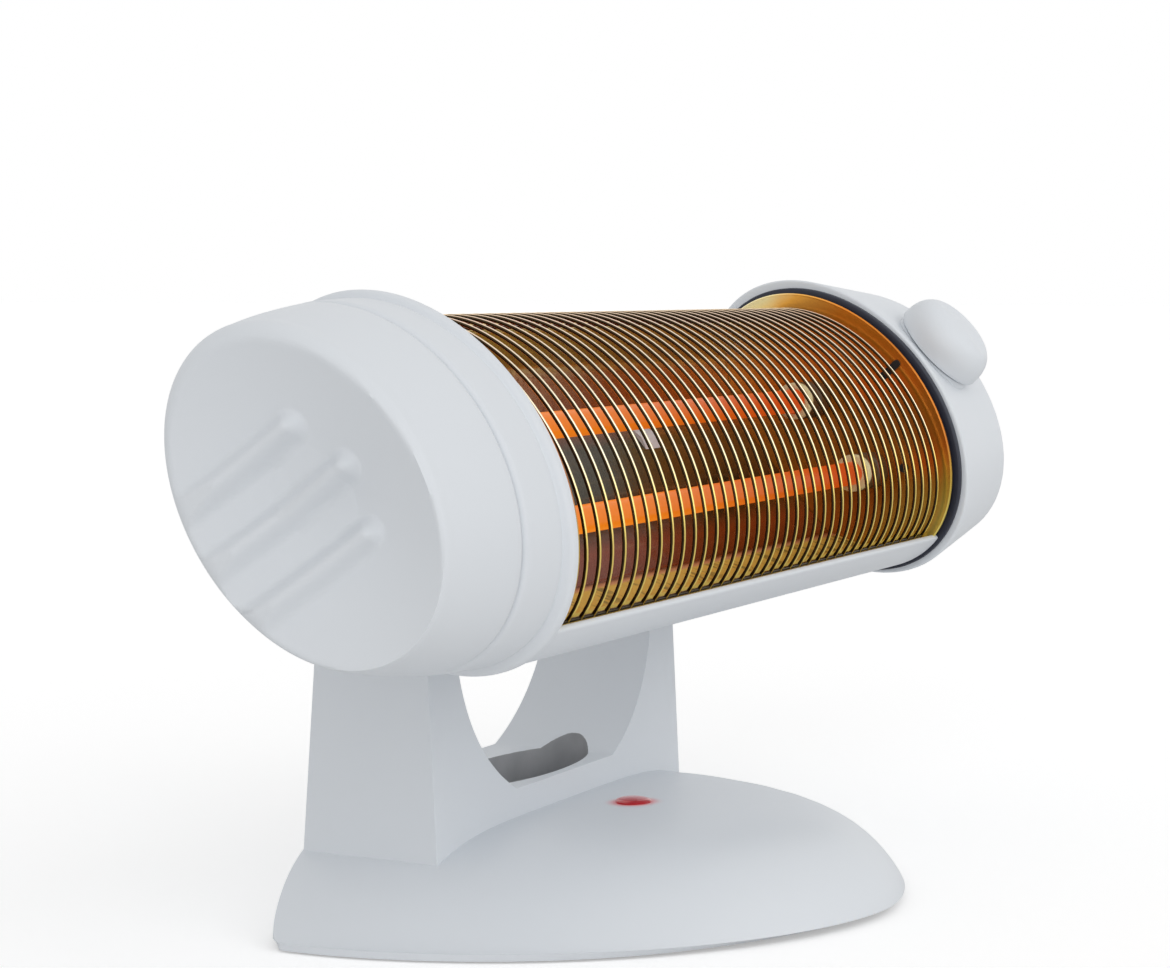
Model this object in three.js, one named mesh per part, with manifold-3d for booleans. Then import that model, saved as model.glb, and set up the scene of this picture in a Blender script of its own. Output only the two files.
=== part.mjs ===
// A table-top halogen heater: an oval head with two quartz tubes behind a wire guard, hinged on a
// thick U-shaped stand over a domed base. Millimetres, +X right, +Y back, +Z up, floor at z = 0.
import * as THREE from "three";
import { mergeVertices } from "three/addons/utils/BufferGeometryUtils.js";
import Module from "manifold-3d";

const wasm = await Module();
wasm.setup();

// ---------------------------------------------------------------- driving dimensions
const CLEARANCE = 0.3; // between pieces that touch
const WALL = 2.5; // plastic mouldings
const OVAL_SEGMENTS = 56;

// Head, in its own frame: +Z along the long axis of the oval, -Y out of the window.
const HEAD_AXIS_Y = -1;
const HEAD_AXIS_Z = 170;
const HEAD_LEAN = 42; // degrees back from upright, as photographed
const RIM_DEPTH = 50; // semi-axes of the flange beside the grille
const RIM_HEIGHT = 70;
const HOUSING_LENGTH = 353;
const HOUSING_INSET = 1; // housing below the flange
const LIP_FRONT = 7; // the lower lip reaches this far in front of the head's middle plane
const UPPER_EDGE_FRONT = 2; // and the upper edge this far

const FLANGE_THICKNESS = 4;
const COLLAR_LENGTH = 29;
const BAND_DEPTH = 49;
const BAND_HEIGHT = 66.8;
const BAND_STEP = 0.3; // the band's end stands this far above the cap
const HEAD_REACH = 246.8; // outer ends of both caps, from the middle of the head

// An end cap: its wide end is an oval, it narrows and moves aside on its way out, and its outer
// edge is rounded. Pairs are [in depth, in height].
const LEFT_CAP = {
  half: [48.8, 65],
  taper: [5, 4.9],
  middle: [0, 0],
  shift: [0, 0],
  rounding: [33, 3.6], // [along the cap, inwards]
};
const RIGHT_CAP = {
  half: [51, 74],
  taper: [6.7, 10.4],
  middle: [-0.8, 0.7],
  shift: [-5.1, -1.2],
  rounding: [8, 8],
};
const CAP_STEPS = 5;
const DISH_DEPTH = 12;
const DISH_HALF = [41.5, 55]; // the dish breaks out at the front and at the bottom
const DISH_MIDDLE = [-1, -6];
const RIB_RADIUS = 4;
const RIB_SUNK = 9.5; // centre line of the ribs below the rim
const RIB_PITCH = 20.4;
const RIB_COUNT = 3;
const RIB_FRONT = 14.5; // front ends of the outer ribs, before the middle of the oval
const RIB_MIDDLE_LONGER = 6.4;
const RIB_BACK_MARGIN = 4;
const RIB_SLOPE = 4.6; // degrees from the short axis of the oval

const SEAL_THICKNESS = 3;
const SEAL_WIDTH = 4.3;
const SEAL_PROUD = 0.3; // beyond the flange on the left

const KNOB_RADIUS = 22;
const KNOB_HEIGHT = 17;
const KNOB_ROUNDING = 11;
const KNOB_DIMPLE_RADIUS = 7; // two finger dimples in the top
const KNOB_DIMPLE_DEPTH = 1.4;
const KNOB_DIMPLE_OFFSET = 9;
const KNOB_FROM_EDGE = 25; // from the wide end of the right cap
const KNOB_UP = 0; // along the head's long axis
const KNOB_PAD_RADIUS = 21;
const KNOB_PAD_THICKNESS = 7;
const KNOB_GAP = 0.8; // running gap under the knob
const SHAFT_RADIUS = 3;
const SHAFT_DEPTH_IN_KNOB = 12;
const SWITCH_BODY = [28, 16, 30];

// Behind the left end plate. Places are [y, z].
const CUT_OUT_RADIUS = 9;
const CUT_OUT_THICKNESS = 7;
const CUT_OUT_PLACE = [10, 20];
const CUT_OUT_TAB = [4, 4, 16];
const TERMINAL_BODY = [14, 14, 32];
const TERMINAL_PLACE = [11, -20];
const TERMINAL_PITCH = 10;
const TERMINAL_BORE_RADIUS = 2.2;

const PLATE_THICKNESS = 1.2; // bronze end plates and reflector sheet
const PLATE_INSET = 3;
const PLATE_RIM = 2; // inside the flange, where the window leaves the plate's edge free
const SLOT_FRONT = 41;
const SLOT_LENGTH = 11;
const SLOT_WIDTH = 3.4;
const SMALL_HOLE_RADIUS = 2;
const SMALL_HOLE_PLACE = [-16, -36];
const REFLECTOR_FLOOR_DEPTH = 30;
const REFLECTOR_FLOOR_HALF = 34;
const REFLECTOR_FOLD_DEPTH = 16;
const REFLECTOR_FOLD_HALF = 57;
const REFLECTOR_FLANGE = 6; // turned flat behind the rods of the guard

const TUBE_RADIUS = 5;
const TUBE_WALL = 1;
const TUBE_SPACING = 41;
const TUBE_CENTRE_Z = -6.5; // the pair sits below the middle of the oval
const TUBE_FRONT = 4; // in front of the head's middle plane
const HOLDER_RADIUS = 8;
const HOLDER_LENGTH = 22;
const HOLDER_SEAT = 12; // how deep a tube sits in its holder
const FILAMENT_RADIUS = 1.6;
const LEAD_BORE_CLEARANCE = 0.4;

const WIRE_RADIUS = 0.75;
const WIRE_COUNT = 38;
const GUARD_LENGTH = 336;
const GUARD_DEPTH = 41.2;
const GUARD_HEIGHT = 64.2;
const GUARD_UPPER_HEIGHT = 60.5; // the bow is flatter above its middle
const GUARD_ROD_FRONT = 4; // the long rods that the wires are welded to, at the lip
const GUARD_UPPER_ROD_FRONT = 4.5; // and at the upper edge
const WIRE_STEPS = 10;
const WIRE_SIDES = 5;

// Hinge of the head, in the head's frame.
const HINGE_BACK = 60.5;
const HINGE_UP = 27;
const HINGE_PIN_RADIUS = 4;
const LUG_RADIUS = 11;
const LUG_WIDTH = 15;
const TILT_FORWARD = 20; // degrees from the photographed pose
const TILT_BACK = 10;

// Stand
const STAND_WIDTH = 202;
const STAND_FRONT_Y = 37; // at the height of STAND_FOOT_Z
const STAND_BACK_Y = 94.7;
const STAND_FOOT_Z = 24;
const STAND_ROOT_Z = 12; // the slab reaches down into the dome as far as this
const STAND_FRONT_LEAN = 2.9; // degrees
const STAND_BACK_LEAN = 4.35;
const STAND_WALL = 3;
const STAND_COVER = 2.5;
const POST_WIDTH = 20; // beside the U cut, at the top
const GAP_SIDE_Z = 105;
const GAP_FLOOR_HALF = 40;
const GAP_FLOOR_Z = 42.5;
// Handles of the curve between a side and the floor of the cut, as shares of its width and height.
const GAP_HANDLES = [[0.958, 0.482], [0.524, 0.168]];
const CAVITY_BELOW_HINGE = 14;
const FAR = 400; // beyond every face of the stand
const RECESS_HALF_WIDTH = 50;
const RECESS_HALF_DEPTH = 18.5;
const RECESS_Y = 60.5;
const SWEEP_STEPS = 6;

// Base
const BASE_HALF_WIDTH = 149.5;
const BASE_CENTRE_Y = 72.25; // widest line of the outline
const BASE_FRONT_REACH = 170.5;
const BASE_BACK_REACH = 35;
const BASE_EXPONENT = 1.76;
const BASE_BACK_EXPONENT = 1.7;
const BASE_EDGE_Z = 3.4;
const BASE_RISE = 28.4;
const BASE_RISE_SLOPE = 0.04; // the crest climbs a little towards the front
const DOME_EXPONENTS = [8, 5]; // [towards the front, towards the sides]
const DOME_ROUNDINGS = [0.81, 1.59];
const OUTLINE_POINTS = 52;
const DOME_SHARES = [1, 0.985, 0.96, 0.925, 0.88, 0.82, 0.74, 0.62, 0.35]; // rings of the dome
const DOME_INNER_SHARES = [1, 0.96, 0.9, 0.8, 0.65, 0.35];
const BASE_PLATE = 2.5;
const PLATE_PROUD = 0.5; // the plate stands this far below the edge of the dome
const BASE_PLATE_INSET = 7; // the dome closes in above its edge
const FOOT_RADIUS = 8;
const FOOT_PLACES = [[-112, 62], [112, 62], [-80, -40], [80, -40]];
const LAMP_RADIUS = 7;
const LAMP_Y = 8.5;
const LAMP_PROUD = 1.6;
const LAMP_BODY_LENGTH = 16;
const PLUNGER_RADIUS = 4;
const PLUNGER_Y = -10;
const PLUNGER_TRAVEL = 3;
const TIP_SWITCH = [24, 16, 12];
const GLAND_RADIUS = 6;
const GLAND_BORE_RADIUS = 3.5;
const GLAND_LENGTH = 20;
const GLAND_X = 60;
const GLAND_Z = 14;
const SCREW_PLACES = [[-112, 30], [112, 30], [-40, -62], [40, -62]];
const SCREW_RADIUS = 1.5;
const SCREW_HEAD_RADIUS = 3;
const SCREW_HEAD = 1.4;
const SCREW_LENGTH = 9;
const BOSS_RADIUS = 4.5;

const radians = THREE.MathUtils.degToRad;
const HALF = HOUSING_LENGTH / 2;
const GAP_TOP_HALF = STAND_WIDTH / 2 - POST_WIDTH;

// ---------------------------------------------------------------- materials
const finish = (color, roughness, metalness = 0) => ({ color, roughness, metalness });
const WHITE = finish(0xe4e8ee, 0.32);
const SEAL = finish(0x20243a, 0.6);
const GOLD = finish(0xc8a43c, 0.25, 1);
const BRONZE = finish(0x8a4a20, 0.3, 1);
const CHROME = finish(0xe8dcc0, 0.2, 1);
const QUARTZ = finish(0xff7a1e, 0.15);
const CERAMIC = finish(0xe8dfc4, 0.6);
const STEEL = finish(0xb8bcc0, 0.35, 1);
const RED = finish(0xc01020, 0.2);
const RUBBER = finish(0xc8ccd2, 0.8);
const DARK = finish(0x26282c, 0.6);

// ---------------------------------------------------------------- solids
function solid(geometry) {
  const bare = geometry.clone();
  bare.deleteAttribute("normal");
  bare.deleteAttribute("uv");
  const merged = mergeVertices(bare, 1e-4);
  return new wasm.Manifold(
    new wasm.Mesh({
      numProp: 3,
      vertProperties: new Float32Array(merged.attributes.position.array),
      triVerts: new Uint32Array(merged.index.array),
    }),
  );
}

function geometryOf(manifold) {
  const mesh = manifold.getMesh();
  const geometry = new THREE.BufferGeometry()
    .setAttribute("position", new THREE.BufferAttribute(new Float32Array(mesh.vertProperties), 3))
    .setIndex(new THREE.BufferAttribute(new Uint32Array(mesh.triVerts), 1));
  const flat = geometry.toNonIndexed();
  flat.computeVertexNormals();
  return flat;
}

function piece(group, name, shape, look) {
  const mesh = new THREE.Mesh(geometryOf(shape), new THREE.MeshStandardMaterial(look));
  mesh.name = name;
  group.add(mesh);
}

const join = (shapes) => wasm.Manifold.union(shapes);

function box(x0, x1, y0, y1, z0, z1) {
  const geometry = new THREE.BoxGeometry(x1 - x0, y1 - y0, z1 - z0);
  geometry.translate((x0 + x1) / 2, (y0 + y1) / 2, (z0 + z1) / 2);
  return solid(geometry);
}

function rodX(x0, x1, radius, y, z, segments = 24) {
  const geometry = new THREE.CylinderGeometry(radius, radius, x1 - x0, segments);
  geometry.rotateZ(-Math.PI / 2).translate((x0 + x1) / 2, y, z);
  return solid(geometry);
}

function rodY(y0, y1, radius, x, z, segments = 32) {
  const geometry = new THREE.CylinderGeometry(radius, radius, y1 - y0, segments);
  geometry.translate(x, (y0 + y1) / 2, z);
  return solid(geometry);
}

function rodZ(z0, z1, radius, x, y, segments = 24) {
  const geometry = new THREE.CylinderGeometry(radius, radius, z1 - z0, segments);
  geometry.rotateX(Math.PI / 2).translate(x, y, (z0 + z1) / 2);
  return solid(geometry);
}

// A closed body from rings of points; each ring has the same number of points.
function rings(list) {
  const count = list[0].length;
  const points = list.flat();
  const index = [];
  for (let r = 0; r + 1 < list.length; r += 1) {
    for (let i = 0; i < count; i += 1) {
      const a = r * count + i;
      const b = r * count + ((i + 1) % count);
      index.push(a, b, a + count, b, b + count, a + count);
    }
  }
  const first = points.length;
  const last = first + 1;
  const middle = (ring) =>
    ring.reduce((sum, p) => sum.add(p), new THREE.Vector3()).divideScalar(ring.length);
  points.push(middle(list[0]), middle(list[list.length - 1]));
  const end = (list.length - 1) * count;
  for (let i = 0; i < count; i += 1) {
    const next = (i + 1) % count;
    index.push(first, next, i);
    index.push(last, end + i, end + next);
  }
  const geometry = new THREE.BufferGeometry().setFromPoints(points);
  geometry.setIndex(index);
  return solid(geometry);
}

// An oval bar along X: stations of [x, half depth, half height], each with its middle [y, z].
function ovalBar(stations) {
  return rings(
    stations.map(([x, depth, height, y = 0, z = 0]) =>
      Array.from({ length: OVAL_SEGMENTS }, (_, i) => {
        const angle = (2 * Math.PI * i) / OVAL_SEGMENTS;
        return new THREE.Vector3(x, y + depth * Math.cos(angle), z + height * Math.sin(angle));
      }),
    ),
  );
}

// The body of an end cap from its wide end out to its face, moved inwards by a wall.
function capBody(cap, start, end, wall) {
  const [run, drop] = cap.rounding;
  const length = Math.abs(end - start);
  const straight = length - run;
  const outwards = [0, straight];
  for (let i = 1; i <= CAP_STEPS; i += 1) {
    outwards.push(straight + run * Math.sin((i / CAP_STEPS) * (Math.PI / 2)));
  }
  const stations = outwards.map((distance) => {
    const share = distance / length;
    const round = Math.max(0, distance - straight) / run;
    const inwards = wall + drop * (1 - Math.sqrt(1 - Math.min(1, round) ** 2));
    const [depth, height] = cap.half.map((half, i) => half - cap.taper[i] * share - inwards);
    const [y, z] = cap.middle.map((middle, i) => middle + cap.shift[i] * share);
    return [start + (end - start) * share, depth, height, y, z];
  });
  return ovalBar(end < start ? stations.reverse() : stations);
}

// A flat outline in YZ, extruded along X between x0 and x1.
function extrudeX(shape, x0, x1) {
  const geometry = new THREE.ExtrudeGeometry(shape, { depth: x1 - x0, bevelEnabled: false });
  geometry.rotateY(Math.PI / 2).rotateX(Math.PI / 2).translate(x0, 0, 0);
  return solid(geometry);
}

// A flat outline in XZ, extruded along Y between y0 and y1.
function extrudeY(shape, y0, y1) {
  const geometry = new THREE.ExtrudeGeometry(shape, {
    depth: y1 - y0,
    bevelEnabled: false,
    curveSegments: 12,
  });
  geometry.rotateX(Math.PI / 2).translate(0, y1, 0);
  return solid(geometry);
}

// ---------------------------------------------------------------- head
const housingDepth = RIM_DEPTH - HOUSING_INSET;
const housingHeight = RIM_HEIGHT - HOUSING_INSET;

function hingeLug(side) {
  const inner = GAP_TOP_HALF - CLEARANCE * 2 - LUG_WIDTH;
  const x0 = side > 0 ? inner : -inner - LUG_WIDTH;
  const eye = rodX(x0, x0 + LUG_WIDTH, LUG_RADIUS, HINGE_BACK, HINGE_UP);
  const root = rodX(x0, x0 + LUG_WIDTH, LUG_RADIUS, housingDepth - LUG_RADIUS - WALL, HINGE_UP);
  const bore = rodX(x0 - 1, x0 + LUG_WIDTH + 1, HINGE_PIN_RADIUS + CLEARANCE, HINGE_BACK, HINGE_UP);
  return wasm.Manifold.hull([eye, root]).subtract(bore);
}

// The room in front of the housing's edges: above the lower lip and below the upper edge.
function windowRoom(x) {
  const lower = box(-x, x, -RIM_DEPTH - 1, -LIP_FRONT, -RIM_HEIGHT, RIM_HEIGHT);
  return lower.add(box(-x, x, -RIM_DEPTH - 1, -UPPER_EDGE_FRONT, 0, RIM_HEIGHT));
}

function housingShell() {
  const x = HALF;
  const outer = ovalBar([[-x, housingDepth, housingHeight], [x, housingDepth, housingHeight]]);
  const innerDepth = housingDepth - WALL;
  const innerHeight = housingHeight - WALL;
  const inner = ovalBar([[-x - 1, innerDepth, innerHeight], [x + 1, innerDepth, innerHeight]]);
  return join([outer, hingeLug(-1), hingeLug(1)]).subtract(inner).subtract(windowRoom(x + 1));
}

// Half height of the inside of the housing at a distance in front of its middle plane.
function innerOval(front) {
  const ratio = front / (housingDepth - WALL);
  return (housingHeight - WALL) * Math.sqrt(1 - ratio * ratio);
}

// The back of the reflector sheet as [y, z], from its floor out to an edge behind a guard rod.
function reflectorHalf(rodY) {
  const edgeY = rodY + WIRE_RADIUS + CLEARANCE + PLATE_THICKNESS;
  const edge = innerOval(edgeY) - CLEARANCE;
  return [
    [REFLECTOR_FLOOR_DEPTH, REFLECTOR_FLOOR_HALF],
    [REFLECTOR_FOLD_DEPTH, REFLECTOR_FOLD_HALF],
    [edgeY, edge - REFLECTOR_FLANGE],
    [edgeY, edge],
  ];
}

function reflector() {
  const x = HALF - PLATE_INSET - PLATE_THICKNESS - CLEARANCE;
  const lower = reflectorHalf(-GUARD_ROD_FRONT).map(([y, z]) => [y, -z]);
  const back = [...lower.reverse(), ...reflectorHalf(-GUARD_UPPER_ROD_FRONT)];
  const front = back.map(([y, z], i) => {
    const shrink = i === 0 || i === back.length - 1 ? 0 : 0.7;
    return [y - PLATE_THICKNESS, z - shrink * Math.sign(z) * PLATE_THICKNESS];
  });
  const outline = [...back, ...front.reverse()].map(([y, z]) => new THREE.Vector2(y, z));
  return extrudeX(new THREE.Shape(outline), -x, x);
}

const tubeHeights = [TUBE_CENTRE_Z + TUBE_SPACING / 2, TUBE_CENTRE_Z - TUBE_SPACING / 2];
const plateX = HALF - PLATE_INSET; // outer face of an end plate
const holderX = plateX - PLATE_THICKNESS - CLEARANCE;
const leadBore = FILAMENT_RADIUS + LEAD_BORE_CLEARANCE;

// The sheet fits the bore of the housing, and in the window it is as large as the flanges allow.
function endPlate(side) {
  const sheetOf = (depth, height) =>
    ovalBar([[plateX - PLATE_THICKNESS, depth, height], [plateX, depth, height]]);
  const inset = WALL + CLEARANCE;
  const free = windowRoom(HALF).translate([0, -CLEARANCE, CLEARANCE]);
  const sheet = join([
    sheetOf(housingDepth - inset, housingHeight - inset),
    sheetOf(RIM_DEPTH - PLATE_RIM, RIM_HEIGHT - PLATE_RIM).intersect(free),
  ]);
  const holes = tubeHeights.map((z) =>
    rodX(holderX, HALF, leadBore, -TUBE_FRONT, z, 16),
  );
  const slot = box(holderX, HALF, -SLOT_FRONT, SLOT_LENGTH - SLOT_FRONT, 0, SLOT_WIDTH);
  const pin = rodX(holderX, HALF, SMALL_HOLE_RADIUS, ...SMALL_HOLE_PLACE, 16);
  const plate = sheet.subtract(join([...holes, slot, pin]));
  return side > 0 ? plate : plate.mirror([1, 0, 0]);
}

function quartzTube(z) {
  const x = holderX - HOLDER_LENGTH + HOLDER_SEAT;
  const outer = rodX(-x, x, TUBE_RADIUS, -TUBE_FRONT, z, 20);
  return outer.subtract(rodX(-x - 1, x + 1, TUBE_RADIUS - TUBE_WALL, -TUBE_FRONT, z, 20));
}

function tubeHolder(z, side) {
  const seat = holderX - HOLDER_LENGTH + HOLDER_SEAT + CLEARANCE;
  const body = rodX(holderX - HOLDER_LENGTH, holderX, HOLDER_RADIUS, -TUBE_FRONT, z);
  const socket = rodX(0, seat, TUBE_RADIUS + CLEARANCE, -TUBE_FRONT, z);
  const bore = rodX(0, HALF, leadBore, -TUBE_FRONT, z, 16);
  const holder = body.subtract(socket).subtract(bore);
  return side > 0 ? holder : holder.mirror([1, 0, 0]);
}

function filament(z) {
  return rodX(-plateX - 1, plateX + 1, FILAMENT_RADIUS, -TUBE_FRONT, z, 12);
}

// The wires are oval bows, welded at both ends to a long rod behind an edge of the housing.
function bowPoint(angle) {
  const height = angle > 0 ? GUARD_UPPER_HEIGHT : GUARD_HEIGHT;
  return [-GUARD_DEPTH * Math.cos(angle), height * Math.sin(angle)];
}

class Bow extends THREE.Curve {
  constructor(x, from, to) {
    super();
    Object.assign(this, { x, from, to });
  }
  getPoint(t, target = new THREE.Vector3()) {
    return target.set(this.x, ...bowPoint(this.from + t * (this.to - this.from)));
  }
}

function wireGuard() {
  const from = -Math.acos(GUARD_ROD_FRONT / GUARD_DEPTH);
  const to = Math.acos(GUARD_UPPER_ROD_FRONT / GUARD_DEPTH);
  const section = new THREE.Shape(
    Array.from({ length: WIRE_SIDES }, (_, i) => {
      const angle = (2 * Math.PI * i) / WIRE_SIDES;
      return new THREE.Vector2(WIRE_RADIUS * Math.cos(angle), WIRE_RADIUS * Math.sin(angle));
    }),
  );
  const wires = Array.from({ length: WIRE_COUNT }, (_, i) => {
    const bow = new Bow(GUARD_LENGTH * (i / (WIRE_COUNT - 1) - 0.5), from, to);
    const options = { extrudePath: bow, steps: WIRE_STEPS, bevelEnabled: false };
    return solid(new THREE.ExtrudeGeometry(section, options));
  });
  const end = GUARD_LENGTH / 2 + WIRE_RADIUS;
  const rods = [from, to].map((angle) => rodX(-end, end, WIRE_RADIUS, ...bowPoint(angle), 8));
  return join([...wires, ...rods]);
}

function leftCollar() {
  const flangeX = -HALF - CLEARANCE;
  const bandX = flangeX - FLANGE_THICKNESS;
  const endX = -HALF - COLLAR_LENGTH;
  const end = LEFT_CAP.half.map((half) => half + BAND_STEP);
  const outer = join([
    ovalBar([[bandX, RIM_DEPTH, RIM_HEIGHT], [flangeX, RIM_DEPTH, RIM_HEIGHT]]),
    ovalBar([[endX, ...end], [bandX + 1, BAND_DEPTH, BAND_HEIGHT]]),
  ]);
  const bore = LEFT_CAP.half.map((half) => half - WALL * 2);
  return outer.subtract(ovalBar([[endX - 1, ...bore], [flangeX + 1, ...bore]]));
}

function rib(fromMiddle, faceX) {
  const z = RIB_PITCH * fromMiddle;
  const front = RIB_FRONT + (fromMiddle === 0 ? RIB_MIDDLE_LONGER : 0);
  const back = DISH_HALF[0] * Math.sqrt(1 - (z / DISH_HALF[1]) ** 2) - RIB_BACK_MARGIN;
  const geometry = new THREE.CapsuleGeometry(RIB_RADIUS, front + back, 4, 10);
  geometry.translate(0, (back - front) / 2, 0).rotateX(radians(RIB_SLOPE));
  return solid(geometry.translate(faceX + RIB_SUNK, 0, z));
}

function leftCap() {
  const startX = -HALF - COLLAR_LENGTH - CLEARANCE;
  const faceX = -HEAD_REACH;
  const outer = capBody(LEFT_CAP, startX, faceX, 0);
  const dish = new THREE.SphereGeometry(1, 28, 12);
  dish.scale(DISH_DEPTH, ...DISH_HALF);
  dish.translate(faceX, ...DISH_MIDDLE);
  const [depth, height] = LEFT_CAP.half.map((half, i) => half - LEFT_CAP.taper[i] - WALL);
  const ribs = Array.from({ length: RIB_COUNT }, (_, i) =>
    rib(i - (RIB_COUNT - 1) / 2, faceX),
  );
  const inside = ovalBar([
    [faceX + DISH_DEPTH + RIB_RADIUS + WALL, depth, height],
    [startX + 1, depth, height],
  ]);
  return outer.subtract(solid(dish)).add(join(ribs).intersect(outer)).subtract(inside);
}

function rightSeal() {
  const x = HALF + CLEARANCE;
  const outer = [RIM_DEPTH + SEAL_PROUD, RIM_HEIGHT + SEAL_PROUD];
  const inner = outer.map((half) => half - SEAL_WIDTH);
  const ring = ovalBar([[x, ...outer], [x + SEAL_THICKNESS, ...outer]]);
  return ring.subtract(ovalBar([[x - 1, ...inner], [x + SEAL_THICKNESS + 1, ...inner]]));
}

const rightCapX = HALF + SEAL_THICKNESS + CLEARANCE * 2;
const padY = RIGHT_CAP.middle[0] - RIGHT_CAP.half[0]; // the knob's pad, level with the cap's front
const knobX = rightCapX + KNOB_FROM_EDGE;

function rightCap() {
  const shell = capBody(RIGHT_CAP, rightCapX, HEAD_REACH, 0);
  const inner = capBody(RIGHT_CAP, rightCapX - 1, HEAD_REACH - WALL, WALL);
  const pad = rodY(padY, padY + KNOB_PAD_THICKNESS, KNOB_PAD_RADIUS, knobX, KNOB_UP, 40);
  const hole = rodY(padY - 1, padY + KNOB_PAD_THICKNESS + 1, SHAFT_RADIUS + CLEARANCE, knobX, KNOB_UP);
  return shell.subtract(inner).add(pad).subtract(hole);
}

// The knob turns about an axis that points out of the window. Its profile is lathed about Y.
function knob() {
  const r = KNOB_RADIUS;
  const points = [new THREE.Vector2(0, 0), new THREE.Vector2(r, 0)];
  for (let i = 0; i <= 6; i += 1) {
    const angle = (i / 6) * (Math.PI / 2);
    const height = KNOB_HEIGHT - KNOB_ROUNDING * (1 - Math.sin(angle));
    points.push(new THREE.Vector2(r - 1 - KNOB_ROUNDING * (1 - Math.cos(angle)), height));
  }
  points.push(new THREE.Vector2(0, KNOB_HEIGHT));
  const body = new THREE.LatheGeometry(points, 32);
  const dimples = [-1, 1].map((side) => {
    const dimple = new THREE.SphereGeometry(KNOB_DIMPLE_RADIUS, 12, 8);
    dimple.translate(0, KNOB_HEIGHT + KNOB_DIMPLE_RADIUS - KNOB_DIMPLE_DEPTH, 0);
    return solid(dimple).translate([0, 0, side * KNOB_DIMPLE_OFFSET]);
  });
  const whole = solid(body).subtract(join(dimples));
  const socket = rodY(-1, SHAFT_DEPTH_IN_KNOB + CLEARANCE, SHAFT_RADIUS + CLEARANCE, 0, 0);
  return whole.subtract(socket).rotate([180, 0, 0]).translate([knobX, padY - KNOB_GAP, KNOB_UP]);
}

const switchFrontY = padY + KNOB_PAD_THICKNESS + CLEARANCE;

function switchShaft() {
  const tipY = padY - KNOB_GAP - SHAFT_DEPTH_IN_KNOB;
  return rodY(tipY, switchFrontY + SWITCH_BODY[1] / 2, SHAFT_RADIUS, knobX, KNOB_UP);
}

function rotarySwitch() {
  const [width, depth, height] = SWITCH_BODY;
  const body = box(
    knobX - width / 2,
    knobX + width / 2,
    switchFrontY,
    switchFrontY + depth,
    KNOB_UP - height / 2,
    KNOB_UP + height / 2,
  );
  const end = switchFrontY + depth / 2 + CLEARANCE;
  return body.subtract(rodY(switchFrontY - 1, end, SHAFT_RADIUS + CLEARANCE, knobX, KNOB_UP));
}

function boxAt(x, [y, z], [width, depth, height]) {
  return box(x, x + width, y - depth / 2, y + depth / 2, z - height / 2, z + height / 2);
}

function thermalCutOut() {
  const x = -plateX - CLEARANCE - CUT_OUT_THICKNESS;
  const can = rodX(x, x + CUT_OUT_THICKNESS, CUT_OUT_RADIUS, ...CUT_OUT_PLACE);
  return can.add(boxAt(x - CUT_OUT_TAB[0] * 0.75, CUT_OUT_PLACE, CUT_OUT_TAB));
}

function terminalBlock() {
  const [width, depth] = TERMINAL_BODY;
  const x = -plateX - CLEARANCE - width;
  const [y, z] = TERMINAL_PLACE;
  const bores = [-1, 0, 1].map((i) =>
    rodY(y - depth, y + depth, TERMINAL_BORE_RADIUS, x + width / 2, z + i * TERMINAL_PITCH, 12),
  );
  return boxAt(x, TERMINAL_PLACE, TERMINAL_BODY).subtract(join(bores));
}

// ---------------------------------------------------------------- hinge between head and stand
const lean = radians(HEAD_LEAN);
const hingeY = HEAD_AXIS_Y + HINGE_BACK * Math.cos(lean) + HINGE_UP * Math.sin(lean);
const hingeZ = HEAD_AXIS_Z - HINGE_BACK * Math.sin(lean) + HINGE_UP * Math.cos(lean);

function hingePin(side) {
  const inner = GAP_TOP_HALF - CLEARANCE * 2 - LUG_WIDTH + 2;
  const outer = STAND_WIDTH / 2 - STAND_WALL - 1;
  const pin = rodX(inner, outer, HINGE_PIN_RADIUS, hingeY, hingeZ);
  return side > 0 ? pin : pin.mirror([1, 0, 0]);
}

// The room that the housing takes up through its whole tilt, in the frame of the part.
function tiltSweep() {
  const depth = housingDepth + 1;
  const height = housingHeight + 1;
  const reach = STAND_WIDTH;
  const bars = Array.from({ length: SWEEP_STEPS + 1 }, (_, i) => {
    const turn = -TILT_BACK + ((TILT_FORWARD + TILT_BACK) * i) / SWEEP_STEPS;
    return ovalBar([[-reach, depth, height], [reach, depth, height]])
      .translate([0, -HINGE_BACK, -HINGE_UP])
      .rotate([turn - HEAD_LEAN, 0, 0])
      .translate([0, hingeY, hingeZ]);
  });
  return join(bars);
}

// ---------------------------------------------------------------- base
const power = (y) => (y > BASE_CENTRE_Y ? BASE_BACK_EXPONENT : BASE_EXPONENT);
const reach = (y, inset) => (y > BASE_CENTRE_Y ? BASE_BACK_REACH : BASE_FRONT_REACH) - inset;

// Height of the top of the base. Behind the widest line it only depends on x.
function domeHeight(x, y, inset) {
  const front = Math.min(y, BASE_CENTRE_Y);
  const across = Math.abs(x / (BASE_HALF_WIDTH - inset)) ** BASE_EXPONENT;
  const along = ((BASE_CENTRE_Y - front) / (BASE_FRONT_REACH - inset)) ** BASE_EXPONENT;
  const share = Math.min(1, (across + along) ** (1 / BASE_EXPONENT));
  const side = across / (across + along + 1e-9);
  const between = ([atFront, atSide]) => atFront + (atSide - atFront) * side;
  const rise = BASE_RISE + BASE_RISE_SLOPE * (STAND_FRONT_Y - front) - inset;
  return BASE_EDGE_Z + rise * (1 - share ** between(DOME_EXPONENTS)) ** between(DOME_ROUNDINGS);
}

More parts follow.
